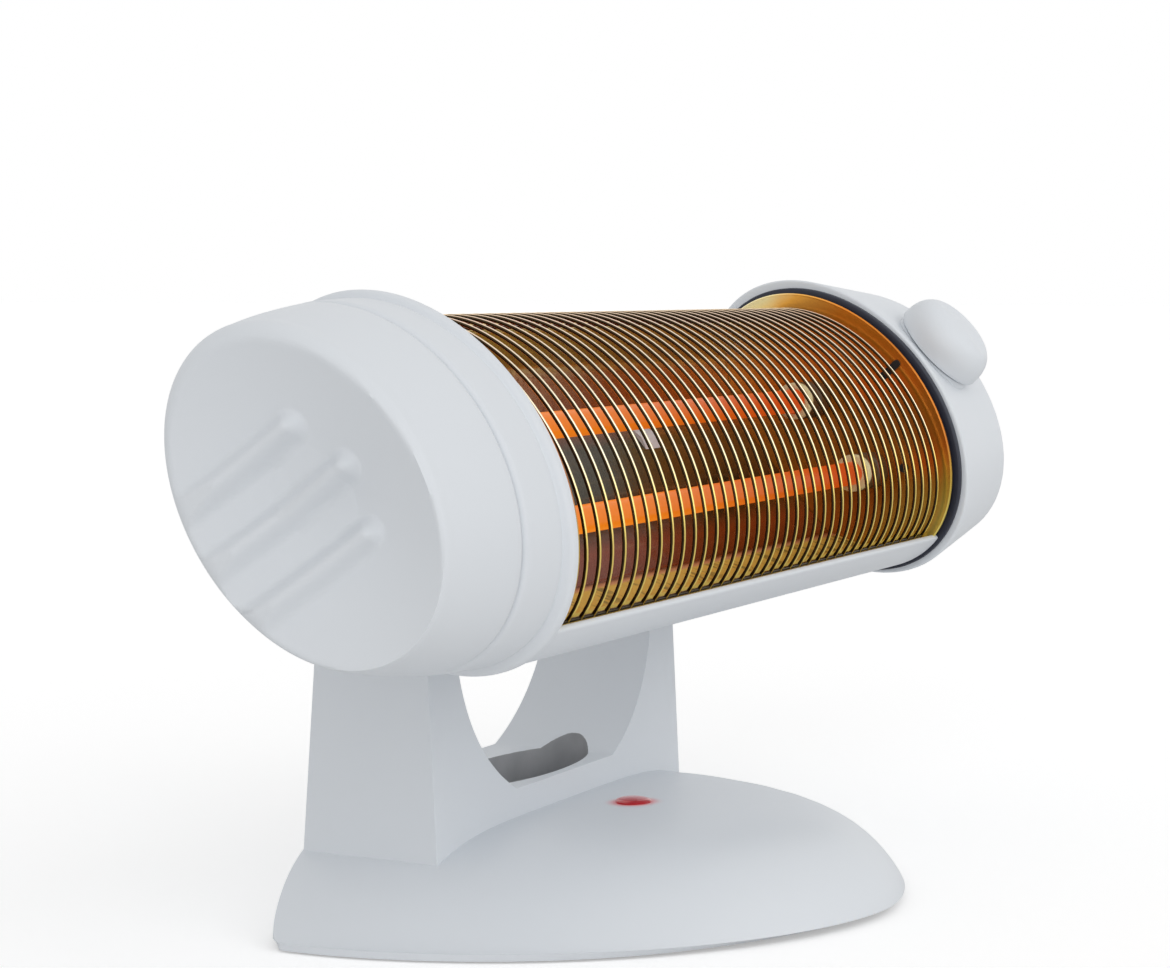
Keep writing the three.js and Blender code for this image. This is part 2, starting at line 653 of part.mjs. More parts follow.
function outlinePoint(angle, inset) {
  const y = BASE_CENTRE_Y + Math.sin(angle);
  const curve = (value) => Math.sign(value) * Math.abs(value) ** (2 / power(y));
  return [
    (BASE_HALF_WIDTH - inset) * curve(Math.cos(angle)),
    BASE_CENTRE_Y + reach(y, inset) * curve(Math.sin(angle)),
  ];
}

function domeSolid(inset, floorZ, shares = DOME_SHARES) {
  const ring = (share, height) =>
    Array.from({ length: OUTLINE_POINTS }, (_, i) => {
      const [x, y] = outlinePoint((2 * Math.PI * i) / OUTLINE_POINTS, inset);
      const px = x * share;
      const py = BASE_CENTRE_Y + (y - BASE_CENTRE_Y) * share;
      return new THREE.Vector3(px, py, height(px, py));
    });
  return rings([
    ring(1, () => floorZ),
    ...shares.map((share) => ring(share, (x, y) => domeHeight(x, y, inset))),
  ]);
}

function plateOutline(inset) {
  const shape = new THREE.Shape();
  shape.setFromPoints(
    Array.from({ length: OUTLINE_POINTS }, (_, i) => {
      const [x, y] = outlinePoint((2 * Math.PI * i) / OUTLINE_POINTS, inset);
      return new THREE.Vector2(x, y);
    }),
  );
  return shape;
}

const lampZ = domeHeight(0, LAMP_Y, 0);
const plateZ = BASE_EDGE_Z - PLATE_PROUD; // underside of the bottom plate

function baseShell() {
  const outer = domeSolid(0, BASE_EDGE_Z);
  const inner = domeSolid(STAND_WALL, BASE_EDGE_Z - 1, DOME_INNER_SHARES);
  const lampHole = rodZ(BASE_EDGE_Z, lampZ + 5, LAMP_RADIUS - 1.5 + CLEARANCE, 0, LAMP_Y);
  const gland = rodY(BASE_CENTRE_Y, BASE_CENTRE_Y + 40, GLAND_RADIUS + CLEARANCE, GLAND_X, GLAND_Z);
  const topZ = plateZ + BASE_PLATE + CLEARANCE;
  const bosses = SCREW_PLACES.map(([x, y]) => rodZ(topZ, lampZ + 9, BOSS_RADIUS, x, y, 16));
  const bores = SCREW_PLACES.map(([x, y]) =>
    rodZ(BASE_EDGE_Z, plateZ + SCREW_LENGTH + 1, SCREW_RADIUS + CLEARANCE, x, y, 12),
  );
  const shell = outer.subtract(inner).add(join(bosses).intersect(outer));
  return shell.subtract(join([lampHole, gland, ...bores]));
}

function baseScrew([x, y]) {
  const headZ = plateZ + CLEARANCE;
  const head = rodZ(headZ, headZ + SCREW_HEAD, SCREW_HEAD_RADIUS, x, y, 16);
  return head.add(rodZ(headZ + 0.5, plateZ + SCREW_LENGTH, SCREW_RADIUS, x, y, 12));
}

function basePlate() {
  const inset = STAND_WALL + CLEARANCE + BASE_PLATE_INSET;
  const geometry = new THREE.ExtrudeGeometry(plateOutline(inset), {
    depth: BASE_PLATE,
    bevelEnabled: false,
  });
  geometry.translate(0, 0, plateZ);
  const seatZ = plateZ + CLEARANCE + SCREW_HEAD + CLEARANCE;
  const holes = SCREW_PLACES.flatMap(([x, y]) => [
    rodZ(0, 20, SCREW_RADIUS + CLEARANCE, x, y, 12),
    rodZ(0, seatZ, SCREW_HEAD_RADIUS + CLEARANCE, x, y, 16),
  ]);
  holes.push(rodZ(0, 20, PLUNGER_RADIUS + CLEARANCE, 0, PLUNGER_Y));
  return solid(geometry).subtract(join(holes));
}

function foot([x, y]) {
  return rodZ(0, plateZ - CLEARANCE, FOOT_RADIUS, x, y);
}

function lampLens() {
  const profile = [
    new THREE.Vector2(0, 0),
    new THREE.Vector2(LAMP_RADIUS, 0),
    new THREE.Vector2(LAMP_RADIUS * 0.8, LAMP_PROUD * 0.7),
    new THREE.Vector2(0, LAMP_PROUD),
  ];
  const lens = new THREE.LatheGeometry(profile, 28);
  lens.rotateX(Math.PI / 2).translate(0, LAMP_Y, lampZ + 1);
  return solid(lens);
}

function lampBody() {
  const top = lampZ + 1 - CLEARANCE;
  return rodZ(top - LAMP_BODY_LENGTH, top, LAMP_RADIUS - 1.5, 0, LAMP_Y);
}

function tipSwitchBody() {
  const [width, depth, height] = TIP_SWITCH;
  const z0 = plateZ + BASE_PLATE + CLEARANCE;
  const body = box(-width / 2, width / 2, PLUNGER_Y - depth / 2, PLUNGER_Y + depth / 2, z0, z0 + height);
  const well = rodZ(z0 - 1, z0 + PLUNGER_TRAVEL + 3, PLUNGER_RADIUS + CLEARANCE, 0, PLUNGER_Y);
  return body.subtract(well);
}

function tipPlunger() {
  return rodZ(CLEARANCE, plateZ + BASE_PLATE + PLUNGER_TRAVEL, PLUNGER_RADIUS, 0, PLUNGER_Y);
}

function cordGland() {
  const y = BASE_CENTRE_Y + BASE_BACK_REACH;
  const sleeve = rodY(y - GLAND_LENGTH, y, GLAND_RADIUS, GLAND_X, GLAND_Z);
  return sleeve.subtract(rodY(y - GLAND_LENGTH - 1, y + 1, GLAND_BORE_RADIUS, GLAND_X, GLAND_Z));
}

// ---------------------------------------------------------------- stand
const frontLean = Math.tan(radians(STAND_FRONT_LEAN));
const backLean = Math.tan(radians(STAND_BACK_LEAN));
const frontAt = (z) => STAND_FRONT_Y + frontLean * (z - STAND_FOOT_Z);
const backAt = (z) => STAND_BACK_Y - backLean * (z - STAND_FOOT_Z);

// Side outline of the slab in YZ with a round top, moved in by frontInset and out past the back.
function sideOutline(frontInset, backInset) {
  const y0 = frontAt(hingeZ) + frontInset;
  const y1 = backAt(hingeZ) - backInset;
  const shape = new THREE.Shape();
  shape.moveTo(frontAt(STAND_ROOT_Z) + frontInset, STAND_ROOT_Z);
  shape.lineTo(backAt(STAND_ROOT_Z) - backInset, STAND_ROOT_Z);
  shape.lineTo(y1, hingeZ);
  shape.absarc((y0 + y1) / 2, hingeZ, (y1 - y0) / 2, 0, Math.PI, false);
  return shape;
}

// Front outline of the slab in XZ with its U cut; wall moves every edge inwards.
function frontOutline(wall) {
  const side = STAND_WIDTH / 2 - wall;
  const top = GAP_TOP_HALF + wall;
  const high = hingeZ + 40;
  const shape = new THREE.Shape();
  shape.moveTo(-side, 0);
  shape.lineTo(side, 0);
  shape.lineTo(side, high);
  shape.lineTo(top, high);
  shape.lineTo(top, GAP_SIDE_Z);
  const floor = GAP_FLOOR_Z - wall;
  const [[x1, z1], [x2, z2]] = GAP_HANDLES.map(([x, z]) => [
    GAP_FLOOR_HALF + x * (top - GAP_FLOOR_HALF),
    floor + z * (GAP_SIDE_Z - floor),
  ]);
  shape.bezierCurveTo(x1, z1, x2, z2, GAP_FLOOR_HALF, floor);
  shape.lineTo(-GAP_FLOOR_HALF, floor);
  shape.bezierCurveTo(-x2, z2, -x1, z1, -top, GAP_SIDE_Z);
  shape.lineTo(-top, high);
  shape.lineTo(-side, high);
  return shape;
}

function slab(wall, backInset) {
  const side = STAND_WIDTH / 2;
  const profile = extrudeX(sideOutline(wall, backInset), -side, side);
  return profile.intersect(extrudeY(frontOutline(wall), 0, FAR));
}

const domeClear = () => domeSolid(0, -FAR).translate([0, 0, CLEARANCE]);
const cavityTop = hingeZ - CAVITY_BELOW_HINGE;

function pinBores() {
  const reach = STAND_WIDTH / 2 - STAND_WALL;
  return rodX(-reach + 0.5, reach - 0.5, HINGE_PIN_RADIUS + CLEARANCE, hingeY, hingeZ);
}

// The oval well in the floor of the U, grown by a wall.
function well(wall) {
  const geometry = new THREE.CylinderGeometry(1, 1, GAP_FLOOR_Z, 40);
  geometry.scale(RECESS_HALF_WIDTH + wall, 1, RECESS_HALF_DEPTH + wall);
  return solid(geometry.rotateX(Math.PI / 2).translate(0, RECESS_Y, GAP_FLOOR_Z));
}

// The tilting head cuts the front of the posts short and leaves offcuts above them.
function withoutOffcuts(shape) {
  return shape.decompose().reduce((main, other) => (other.volume() > main.volume() ? other : main));
}

function standShell() {
  const cavity = slab(STAND_WALL, -STAND_BACK_Y).intersect(box(-FAR, FAR, 0, FAR, 0, cavityTop));
  const shell = slab(0, 0)
    .subtract(cavity.subtract(well(STAND_WALL)))
    .subtract(well(0))
    .subtract(domeClear())
    .subtract(tiltSweep())
    .subtract(pinBores());
  return withoutOffcuts(shell);
}

function standCover() {
  const inset = STAND_WALL + CLEARANCE;
  const inner = extrudeX(sideOutline(-STAND_BACK_Y, STAND_COVER), -STAND_WIDTH, STAND_WIDTH);
  return slab(inset, 0)
    .subtract(inner)
    .intersect(box(-FAR, FAR, 0, FAR, 0, cavityTop - CLEARANCE))
    .subtract(domeClear())
    .subtract(tiltSweep());
}

// ---------------------------------------------------------------- assembly
const heater = new THREE.Group();
heater.position.y = (BASE_FRONT_REACH - BASE_BACK_REACH) / 2 - BASE_CENTRE_Y;

const head = new THREE.Group();
head.position.set(0, HEAD_AXIS_Y, HEAD_AXIS_Z);
head.rotation.x = -lean;
heater.add(head);

piece(head, "housing_shell", housingShell(), WHITE);
piece(head, "reflector", reflector(), GOLD);
piece(head, "wire_guard", wireGuard(), CHROME);
piece(head, "left_collar", leftCollar(), WHITE);
piece(head, "left_end_cap", leftCap(), WHITE);
piece(head, "right_seal", rightSeal(), SEAL);
piece(head, "right_end_cap", rightCap(), WHITE);
piece(head, "control_knob", knob(), WHITE);
piece(head, "switch_shaft", switchShaft(), STEEL);
piece(head, "rotary_switch", rotarySwitch(), DARK);
piece(head, "thermal_cut_out", thermalCutOut(), STEEL);
piece(head, "terminal_block", terminalBlock(), CERAMIC);
[-1, 1].forEach((side) => {
  piece(head, `${side < 0 ? "left" : "right"}_end_plate`, endPlate(side), BRONZE);
});
["upper", "lower"].forEach((level, i) => {
  piece(head, `${level}_quartz_tube`, quartzTube(tubeHeights[i]), QUARTZ);
  piece(head, `${level}_filament`, filament(tubeHeights[i]), QUARTZ);
  piece(head, `${level}_left_holder`, tubeHolder(tubeHeights[i], -1), CERAMIC);
  piece(head, `${level}_right_holder`, tubeHolder(tubeHeights[i], 1), CERAMIC);
});

piece(heater, "left_hinge_pin", hingePin(-1), STEEL);
piece(heater, "right_hinge_pin", hingePin(1), STEEL);
piece(heater, "stand_shell", standShell(), WHITE);
piece(heater, "stand_rear_cover", standCover(), WHITE);
piece(heater, "base_shell", baseShell(), WHITE);
piece(heater, "base_plate", basePlate(), WHITE);
FOOT_PLACES.forEach((place, i) => piece(heater, `foot_${i + 1}`, foot(place), RUBBER));
SCREW_PLACES.forEach((place, i) => piece(heater, `base_screw_${i + 1}`, baseScrew(place), STEEL));
piece(heater, "pilot_lamp_lens", lampLens(), RED);
piece(heater, "pilot_lamp_body", lampBody(), DARK);
piece(heater, "tip_switch_body", tipSwitchBody(), DARK);
piece(heater, "tip_switch_plunger", tipPlunger(), RUBBER);
piece(heater, "cord_gland", cordGland(), DARK);

export default heater;
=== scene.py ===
"""A table-top halogen heater and the studio it stands in. Metres, +X right, +Y back, +Z up."""
from math import acos, cos, hypot, pi, radians, sin, sqrt

import bmesh
import bpy
from mathutils import Matrix, Vector


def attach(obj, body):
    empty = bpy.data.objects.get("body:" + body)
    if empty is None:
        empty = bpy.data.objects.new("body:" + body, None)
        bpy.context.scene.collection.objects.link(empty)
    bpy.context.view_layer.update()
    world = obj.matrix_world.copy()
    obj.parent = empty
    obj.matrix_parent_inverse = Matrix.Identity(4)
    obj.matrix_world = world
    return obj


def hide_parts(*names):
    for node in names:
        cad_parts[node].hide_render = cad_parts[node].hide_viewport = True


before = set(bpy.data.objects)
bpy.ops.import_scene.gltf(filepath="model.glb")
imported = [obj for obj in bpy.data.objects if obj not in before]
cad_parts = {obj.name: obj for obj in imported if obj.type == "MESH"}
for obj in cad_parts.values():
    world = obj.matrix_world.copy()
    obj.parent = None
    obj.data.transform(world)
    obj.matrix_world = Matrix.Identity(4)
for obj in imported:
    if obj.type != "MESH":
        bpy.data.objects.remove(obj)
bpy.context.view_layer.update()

# ---- Camera
# A long lens from the left front, just above the head and looking slightly down.
CAMERA_TURN = radians(-62.381)
CAMERA_PITCH = radians(4.35)
camera = bpy.data.objects.new("camera", bpy.data.cameras.new("camera"))
bpy.context.scene.collection.objects.link(camera)
bpy.context.scene.camera = camera
camera.data.lens = 80
camera.data.sensor_width = 36
camera.data.clip_start = 0.05
camera.location = (-0.89403, -0.44243, 0.23291)
camera_back = Vector((
    sin(CAMERA_TURN) * cos(CAMERA_PITCH),
    -cos(CAMERA_TURN) * cos(CAMERA_PITCH),
    sin(CAMERA_PITCH),
))
camera.rotation_euler = camera_back.to_track_quat("Z", "Y").to_euler()

# ---- Studio
# A white room: even light from all round, two faint wide lights from the front and the left,
# and a white floor that keeps the heater's soft shadow.
ROOM_LIGHT = 0.62
WIDE_LIGHTS = {"front_light": (0.5, (0, -1, 0.6)), "left_light": (0.6, (-0.8, -0.5, 0.35))}
FLOOR_SIZE = 30
FLOOR_LIFT = 0.35  # brings the unshadowed floor up to white for the camera
scene = bpy.context.scene
scene.view_settings.view_transform = "Standard"


class Socket:
    """A shader value that can be written in ordinary sums."""

    def __init__(self, tree, out):
        self.tree, self.out = tree, out

    def math(self, operation, *values):
        return node(self.tree, "ShaderNodeMath", {"operation": operation}, list(values))

    def __add__(self, other):
        return self.math("ADD", self, other)

    def __sub__(self, other):
        return self.math("SUBTRACT", self, other)

    def __rsub__(self, other):
        return self.math("SUBTRACT", other, self)

    def __mul__(self, other):
        return self.math("MULTIPLY", self, other)

    def __truediv__(self, other):
        return self.math("DIVIDE", self, other)

    def __pow__(self, other):
        return self.math("POWER", self, other)

    __radd__ = __add__
    __rmul__ = __mul__

    def clamp(self):
        return node(self.tree, "ShaderNodeClamp", {}, [self])

    def step(self, low, high):
        """0 below low, 1 above high, smooth between."""
        settings = {"interpolation_type": "SMOOTHSTEP"}
        return node(self.tree, "ShaderNodeMapRange", settings, [self, low, high])


def node(tree, kind, settings, values, output=0):
    """Adds one node: its settings first, then a value or a link for each socket."""
    made = tree.nodes.new(kind)
    for name, value in settings.items():
        if name == "stops":
            ramp = made.color_ramp
            while len(ramp.elements) < len(value):
                ramp.elements.new(1)
            for element, (place, colour) in zip(ramp.elements, value):
                element.position = place
                element.color = (*colour, 1)
        else:
            setattr(made, name, value)
    pairs = values.items() if isinstance(values, dict) else enumerate(values)
    for name, value in pairs:
        if isinstance(value, Socket):
            tree.links.new(value.out, made.inputs[name])
        elif value is not None:
            made.inputs[name].default_value = value
    if made.outputs:
        return Socket(tree, made.outputs[output])


world = bpy.data.worlds.new("white_room")
scene.world = world
world.use_nodes = True
room = world.node_tree
room.nodes.clear()
seen = [node(room, "ShaderNodeLightPath", {}, [], ray) for ray in
        ("Is Camera Ray", "Is Glossy Ray", "Is Transmission Ray")]
seen_directly = (seen[0] + seen[1] + seen[2]).clamp()
strength = seen_directly * (1 - ROOM_LIGHT) + ROOM_LIGHT
background = node(room, "ShaderNodeBackground", {}, {"Color": (1, 1, 1, 1), "Strength": strength})
node(room, "ShaderNodeOutputWorld", {}, [background])

for name, (energy, comes_from) in WIDE_LIGHTS.items():
    light = bpy.data.objects.new(name, bpy.data.lights.new(name, "SUN"))
    scene.collection.objects.link(light)
    light.data.energy = energy
    light.data.angle = radians(50)
    light.rotation_euler = Vector(comes_from).to_track_quat("Z", "Y").to_euler()

floor_mesh = bpy.data.meshes.new("floor")
bm = bmesh.new()
bmesh.ops.create_grid(bm, x_segments=1, y_segments=1, size=FLOOR_SIZE)
bm.to_mesh(floor_mesh)
bm.free()
floor = bpy.data.objects.new("floor", floor_mesh)
scene.collection.objects.link(floor)
floor_paint = bpy.data.materials.new("floor_paint")
floor_paint.use_nodes = True
tree = floor_paint.node_tree
tree.nodes.clear()
matt = node(tree, "ShaderNodeBsdfDiffuse", {}, {"Color": (0.86, 0.86, 0.86, 1)})
to_camera = node(tree, "ShaderNodeLightPath", {}, [], "Is Camera Ray")
lit = node(tree, "ShaderNodeEmission", {}, {"Color": (1, 1, 1, 1), "Strength": to_camera * FLOOR_LIFT})
mixed = node(tree, "ShaderNodeAddShader", {}, [matt, lit])
node(tree, "ShaderNodeOutputMaterial", {}, [mixed])
floor_mesh.materials.append(floor_paint)

# ---- White mouldings
# Cool white plastic with a soft gloss and a very fine moulded grain. The head, the stand
# and the base are all made of it.
HEAD_AXIS = (0, -0.0055, 0.17)
HEAD_LEAN = radians(42)
HEAD = Matrix.Translation(HEAD_AXIS) @ Matrix.Rotation(-HEAD_LEAN, 4, "X") @ Matrix.Scale(0.001, 4)
STAND = Matrix.Translation((0, -0.0045, 0)) @ Matrix.Scale(0.001, 4)


def material(name, shader_values, surface=None):
    """A Principled material; surface(tree, coordinates) returns what varies over it."""
    made = bpy.data.materials.new(name)
    made.use_nodes = True
    tree = made.node_tree
    tree.nodes.clear()
    values = dict(shader_values)
    if surface:
        place = node(tree, "ShaderNodeTexCoord", {}, [], "Object")
        values.update(surface(tree, place))
    shader = node(tree, "ShaderNodeBsdfPrincipled", {}, values)
    node(tree, "ShaderNodeOutputMaterial", {}, [shader])
    return made


def noise(tree, place, scale, detail=2.0):
    return node(tree, "ShaderNodeTexNoise", {}, {"Vector": place, "Scale": scale, "Detail": detail})


def blend(tree, share, low, high):
    """A colour between low and high."""
    settings = {"data_type": "RGBA"}
    return node(tree, "ShaderNodeMix", settings, {0: share, 6: low, 7: high}, 2)


def bump(tree, height, strength, distance):
    return node(tree, "ShaderNodeBump", {}, {
        "Strength": strength, "Distance": distance, "Height": height,
    })


def moulded(tree, place):
    cloud = noise(tree, place, 9)
    grain = noise(tree, place, 2600, 1)
    return {
        "Base Color": blend(tree, cloud, (0.72, 0.752, 0.79, 1), (0.745, 0.775, 0.808, 1)),
        "Roughness": noise(tree, place, 160) * 0.08 + 0.41,
        "Normal": bump(tree, grain, 0.05, 0.0002),
    }


WHITE_GLOSS = {"Specular IOR Level": 0.35, "Coat Weight": 0.05, "Coat Roughness": 0.2}
white_plastic = material("white_plastic", WHITE_GLOSS, moulded)


def make(bm, name, body, look, nodes=(), place=None, sharp=35, flip=True):
    """Turns a bmesh in millimetres into a finished piece of the heater."""
    bmesh.ops.remove_doubles(bm, verts=bm.verts, dist=1e-4)
    if flip:
        bmesh.ops.recalc_face_normals(bm, faces=bm.faces)
    if place:
        bm.transform(place)
    limit = radians(sharp)
    for edge in bm.edges:
        edge.smooth = edge.calc_face_angle(pi) < limit
    for face in bm.faces:
        face.smooth = True
    mesh = bpy.data.meshes.new(name)
    bm.to_mesh(mesh)
    bm.free()
    mesh.materials.append(look)
    made = bpy.data.objects.new(name, mesh)
    scene.collection.objects.link(made)
    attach(made, body)
    if nodes:
        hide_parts(*nodes)
    return made


# ---- Housing of the head
# An oval tube of plastic, cut open along its front: the edge below the window is the
# rounded lip, and two lugs on its back carry the head on the stand's hinge pins.
HALF = 176.5
HOUSING = (49, 69)
HOUSING_WALL = 2.5
LIP_ANGLE = radians(-98.2)
UPPER_EDGE_ANGLE = radians(92.3)
LUG_EYE = (60.5, 27)  # depth and height of the hinge line in the head
LUG_RADIUS = 11
LUG_WIDTH = 15
LUG_PLACES = (-80.4, 65.4)


def outward(bm, faces, thickness):
    """Gives a sheet its thickness, on the side its faces turn to."""
    bmesh.ops.solidify(bm, geom=faces, thickness=thickness)


def arc_sheet(bm, start, sweep, half, axes, steps):
    """Part of an oval tube, from an angle through a sweep about X."""
    first = bm.verts.new((-half, cos(start), sin(start)))
    bmesh.ops.spin(bm, geom=[first], cent=(0, 0, 0), axis=(1, 0, 0), angle=sweep, steps=steps)
    bmesh.ops.scale(bm, vec=(1, *axes), verts=bm.verts)
    edges = list(bm.edges)
    far = bmesh.ops.extrude_edge_only(bm, edges=edges)["geom"]
    moved = [v for v in far if isinstance(v, bmesh.types.BMVert)]
    bmesh.ops.translate(bm, vec=(2 * half, 0, 0), verts=moved)
    bmesh.ops.recalc_face_normals(bm, faces=bm.faces)


def round_edges(bm, chosen, radius, segments=3):
    bmesh.ops.bevel(
        bm, geom=chosen, offset=radius, affect="EDGES", segments=segments, profile=0.5,
        material=-1,
    )


def corner_edges(bm, least):
    return [e for e in bm.edges if e.calc_face_angle(0) > radians(least)]


def lug(bm, x):
    """A rounded arm with an eye, standing off the back of the housing."""
    ring = bmesh.ops.create_circle(bm, radius=LUG_RADIUS, segments=64)["verts"]
    eye = bmesh.ops.create_circle(bm, radius=4.3, segments=64)["verts"]
    turned = Matrix.Translation((x, *LUG_EYE)) @ Matrix.Rotation(pi / 2, 4, "Y")
    bmesh.ops.transform(bm, matrix=turned, verts=ring + eye)
    for v in ring:
        if v.co.y < LUG_EYE[0] - 0.1:
            v.co.y -= 21
    edges = {e for v in ring + eye for e in v.link_edges}
    faces = bmesh.ops.bridge_loops(bm, edges=list(edges))["faces"]
    far = bmesh.ops.extrude_face_region(bm, geom=faces)["geom"]
    moved = [v for v in far if isinstance(v, bmesh.types.BMVert)]
    bmesh.ops.translate(bm, vec=(LUG_WIDTH, 0, 0), verts=moved)


bm = bmesh.new()
arc_sheet(bm, LIP_ANGLE, UPPER_EDGE_ANGLE - LIP_ANGLE, HALF, HOUSING, 118)
outward(bm, list(bm.faces), HOUSING_WALL)
round_edges(bm, corner_edges(bm, 60), 0.9)
for x in LUG_PLACES:
    lug(bm, x)
make(bm, "housing", "head", white_plastic, ["housing_shell"], HEAD)

# ---- Left collar and end cap
# The collar slips over the housing's left end with a raised flange. The cap on it narrows
# towards a scooped face with three long grips; the scoop breaks out at its front and bottom.
COLLAR_X = -HALF - 0.3
COLLAR_END = COLLAR_X - 28.7
COLLAR_BORE = (43.5, 60)


def oval_body(bm, stations, segments=192, closed=True):
    """Ovals along X, bridged in turn; a station is x, half depth, half height, middle y and z."""
    loops = []
    for x, depth, height, *middle in stations:
        place = Matrix.Translation((x, *(middle or (0, 0)))) @ Matrix.Rotation(pi / 2, 4, "Y")
        place = place @ Matrix.Diagonal((height, depth, 1, 1))
        ring = bmesh.ops.create_circle(bm, radius=1, segments=segments, matrix=place)["verts"]
        loops.append(list({e for v in ring for e in v.link_edges}))
    pairs = list(zip(loops, loops[1:] + loops[:1] if closed else loops[1:]))
    for near, far in pairs:
        bmesh.ops.bridge_loops(bm, edges=near + far)
    return loops


def soften(bm, loops, numbers, radius, segments=4):
    round_edges(bm, [e for n in numbers for e in loops[n]], radius, segments)


bm = bmesh.new()
loops = oval_body(bm, [
    (COLLAR_X, 50, 70),
    (COLLAR_X - 4, 50, 70),
    (COLLAR_X - 5.4, 47.6, 65.6),
    (COLLAR_X - 7.4, 48.7, 66.6),
    (COLLAR_END, 49, 65.2),
    (COLLAR_END, *COLLAR_BORE),
    (COLLAR_X, *COLLAR_BORE),
])
soften(bm, loops, [0], 0.8)
soften(bm, loops, [1], 1.5)
soften(bm, loops, [2, 3], 0.7)
soften(bm, loops, [4], 2.5)
make(bm, "left_collar_band", "head", white_plastic, ["left_collar"], HEAD)

CAP_X = COLLAR_X - 29
CAP_LENGTH = 41
CAP_WIDE = (48.8, 65)
CAP_TAPER = 4.9
CAP_STRAIGHT = 8  # from here on its sides also roll inwards
CAP_ROLL = 3.6
FACE_X = CAP_X - CAP_LENGTH
SCOOP_HALF = (46, 62)
SCOOP_MIDDLE = (2, -9)
SCOOP_DEEPEST = Vector((-0.217, 0.016))  # as shares of the scoop's half sizes
SCOOP_DEPTH = 13
FACE_EDGE = 7
GRIP_RADIUS = 6.5
GRIP_HEIGHT = 5
GRIPS = ((20.2, -15.3), (0, -20.9), (-20.7, -13.7))  # height and front end of each
FACE_RINGS = 90


def cap_half(distance):
    """Half depth and half height of the cap at a distance from its wide end."""
    share = distance / CAP_LENGTH
    rolled = max(0, (distance - CAP_STRAIGHT) / (CAP_LENGTH - CAP_STRAIGHT))
    turned = CAP_ROLL * (1 - sqrt(1 - rolled ** 2))
    return [half - CAP_TAPER * share - turned for half in CAP_WIDE]


def scoop(y, z):
    """Depth of the scooped face at a point: a bowl that is deepest towards the front."""
    here = Vector(((y - SCOOP_MIDDLE[0]) / SCOOP_HALF[0], (z - SCOOP_MIDDLE[1]) / SCOOP_HALF[1]))
    away = here - SCOOP_DEEPEST
    lean = SCOOP_DEEPEST.dot(away.normalized())
    reach = sqrt(1 - SCOOP_DEEPEST.length_squared + lean ** 2) - lean
    return SCOOP_DEPTH * max(0, 1 - (away.length / reach) ** 1.25)


def grip(y, z):
    """Height of the grips over the scooped face at a point."""
    tall = 0
    for middle, front in GRIPS:
        away = z - middle - 0.08 * y
        along = max(0, front + GRIP_RADIUS - y)
        near = hypot(away, along) / GRIP_RADIUS
        if near < 1:
            tall = max(tall, GRIP_HEIGHT * (1 + cos(pi * near)) / 2)
    return tall


bm = bmesh.new()
sides = [(CAP_X, 43, 59), (CAP_X, 46.3, 62.5), (CAP_X - 0.7, 47.6, 63.8), (CAP_X - 1.6, 48.3, 64.5)]
sides += [(CAP_X - d, *cap_half(d)) for d in (3, 7, 12, 18, 23, 28, 32)]
shoulder = cap_half(CAP_LENGTH - FACE_EDGE)
for i in range(9):
    angle = radians(90) * i / 8
    drop = FACE_EDGE * (1 - cos(angle))
    sides.append((FACE_X + FACE_EDGE * (1 - sin(angle)), shoulder[0] - drop, shoulder[1] - drop))
rim = sides[-1][1:]
for i in range(1, FACE_RINGS):
    share = 1 - i / FACE_RINGS
    sides.append((FACE_X, rim[0] * share, rim[1] * share))
loops = oval_body(bm, sides, 288, closed=False)
bmesh.ops.holes_fill(bm, edges=[*loops[-1], *loops[0]])
for v in bm.verts:
    if v.co.x < FACE_X + SCOOP_DEPTH:
        carved = scoop(v.co.y, v.co.z)
        if carved > 0.01:
            v.co.x = max(v.co.x, FACE_X + carved - grip(v.co.y, v.co.z))
make(bm, "left_cap", "head", white_plastic, ["left_end_cap"], HEAD, sharp=60)

# ---- Right seal and end cap
# A dark rubber ring parts the grille from the larger white cap that holds the controls. The
# cap narrows outwards, and its middle moves towards the window as it does.
SEAL_X = HALF + 0.3
RIGHT_CAP_X = HALF + 3.6
RIGHT_CAP_LENGTH = 66.7
RIGHT_EDGE = 9


def rubber(tree, place):
    return {"Roughness": noise(tree, place, 300) * 0.2 + 0.4}


dark_seal = material("dark_seal", {"Base Color": (0.012, 0.015, 0.03, 1)}, rubber)
bm = bmesh.new()
loops = oval_body(bm, [
    (SEAL_X, 50.2, 70.2), (SEAL_X + 3, 50.3, 70.3), (SEAL_X + 3, 46, 66), (SEAL_X, 46, 66),
])
soften(bm, loops, range(4), 0.8)
make(bm, "seal_ring", "head", dark_seal, ["right_seal"], HEAD)


def right_oval(distance, inwards=0):
    share = distance / RIGHT_CAP_LENGTH
    return (RIGHT_CAP_X + distance, 51 - 6.7 * share - inwards, 74 - 10.4 * share - inwards,
            -0.8 - 5.1 * share, 0.7 - 1.2 * share)


bm = bmesh.new()
stations = [right_oval(0, 5), right_oval(0)] + [right_oval(d) for d in (8, 20, 32, 44)]
for i in range(11):
    angle = radians(90) * i / 10
    stations.append(right_oval(
        RIGHT_CAP_LENGTH - RIGHT_EDGE * (1 - sin(angle)), RIGHT_EDGE * (1 - cos(angle)),
    ))
loops = oval_body(bm, stations, closed=False)
bmesh.ops.holes_fill(bm, edges=[*loops[-1], *loops[0]])
soften(bm, loops, [1], 1.2)
make(bm, "right_cap", "head", white_plastic, ["right_end_cap"], HEAD, sharp=50)

# ---- Control knob
# A pillow-shaped cap on the switch shaft, with two shallow finger dimples. It stands on a
# small round pad and turns about the line that points out of the window.
KNOB = (205.1, -52.6, 0)
KNOB_RADIUS = 21.8
KNOB_HEIGHT = 16.6


def dimple(x, z):
    return sum(1.3 * max(0, 1 - hypot(x, z - side * 9.5) ** 2 / 55) ** 2 for side in (-1, 1))


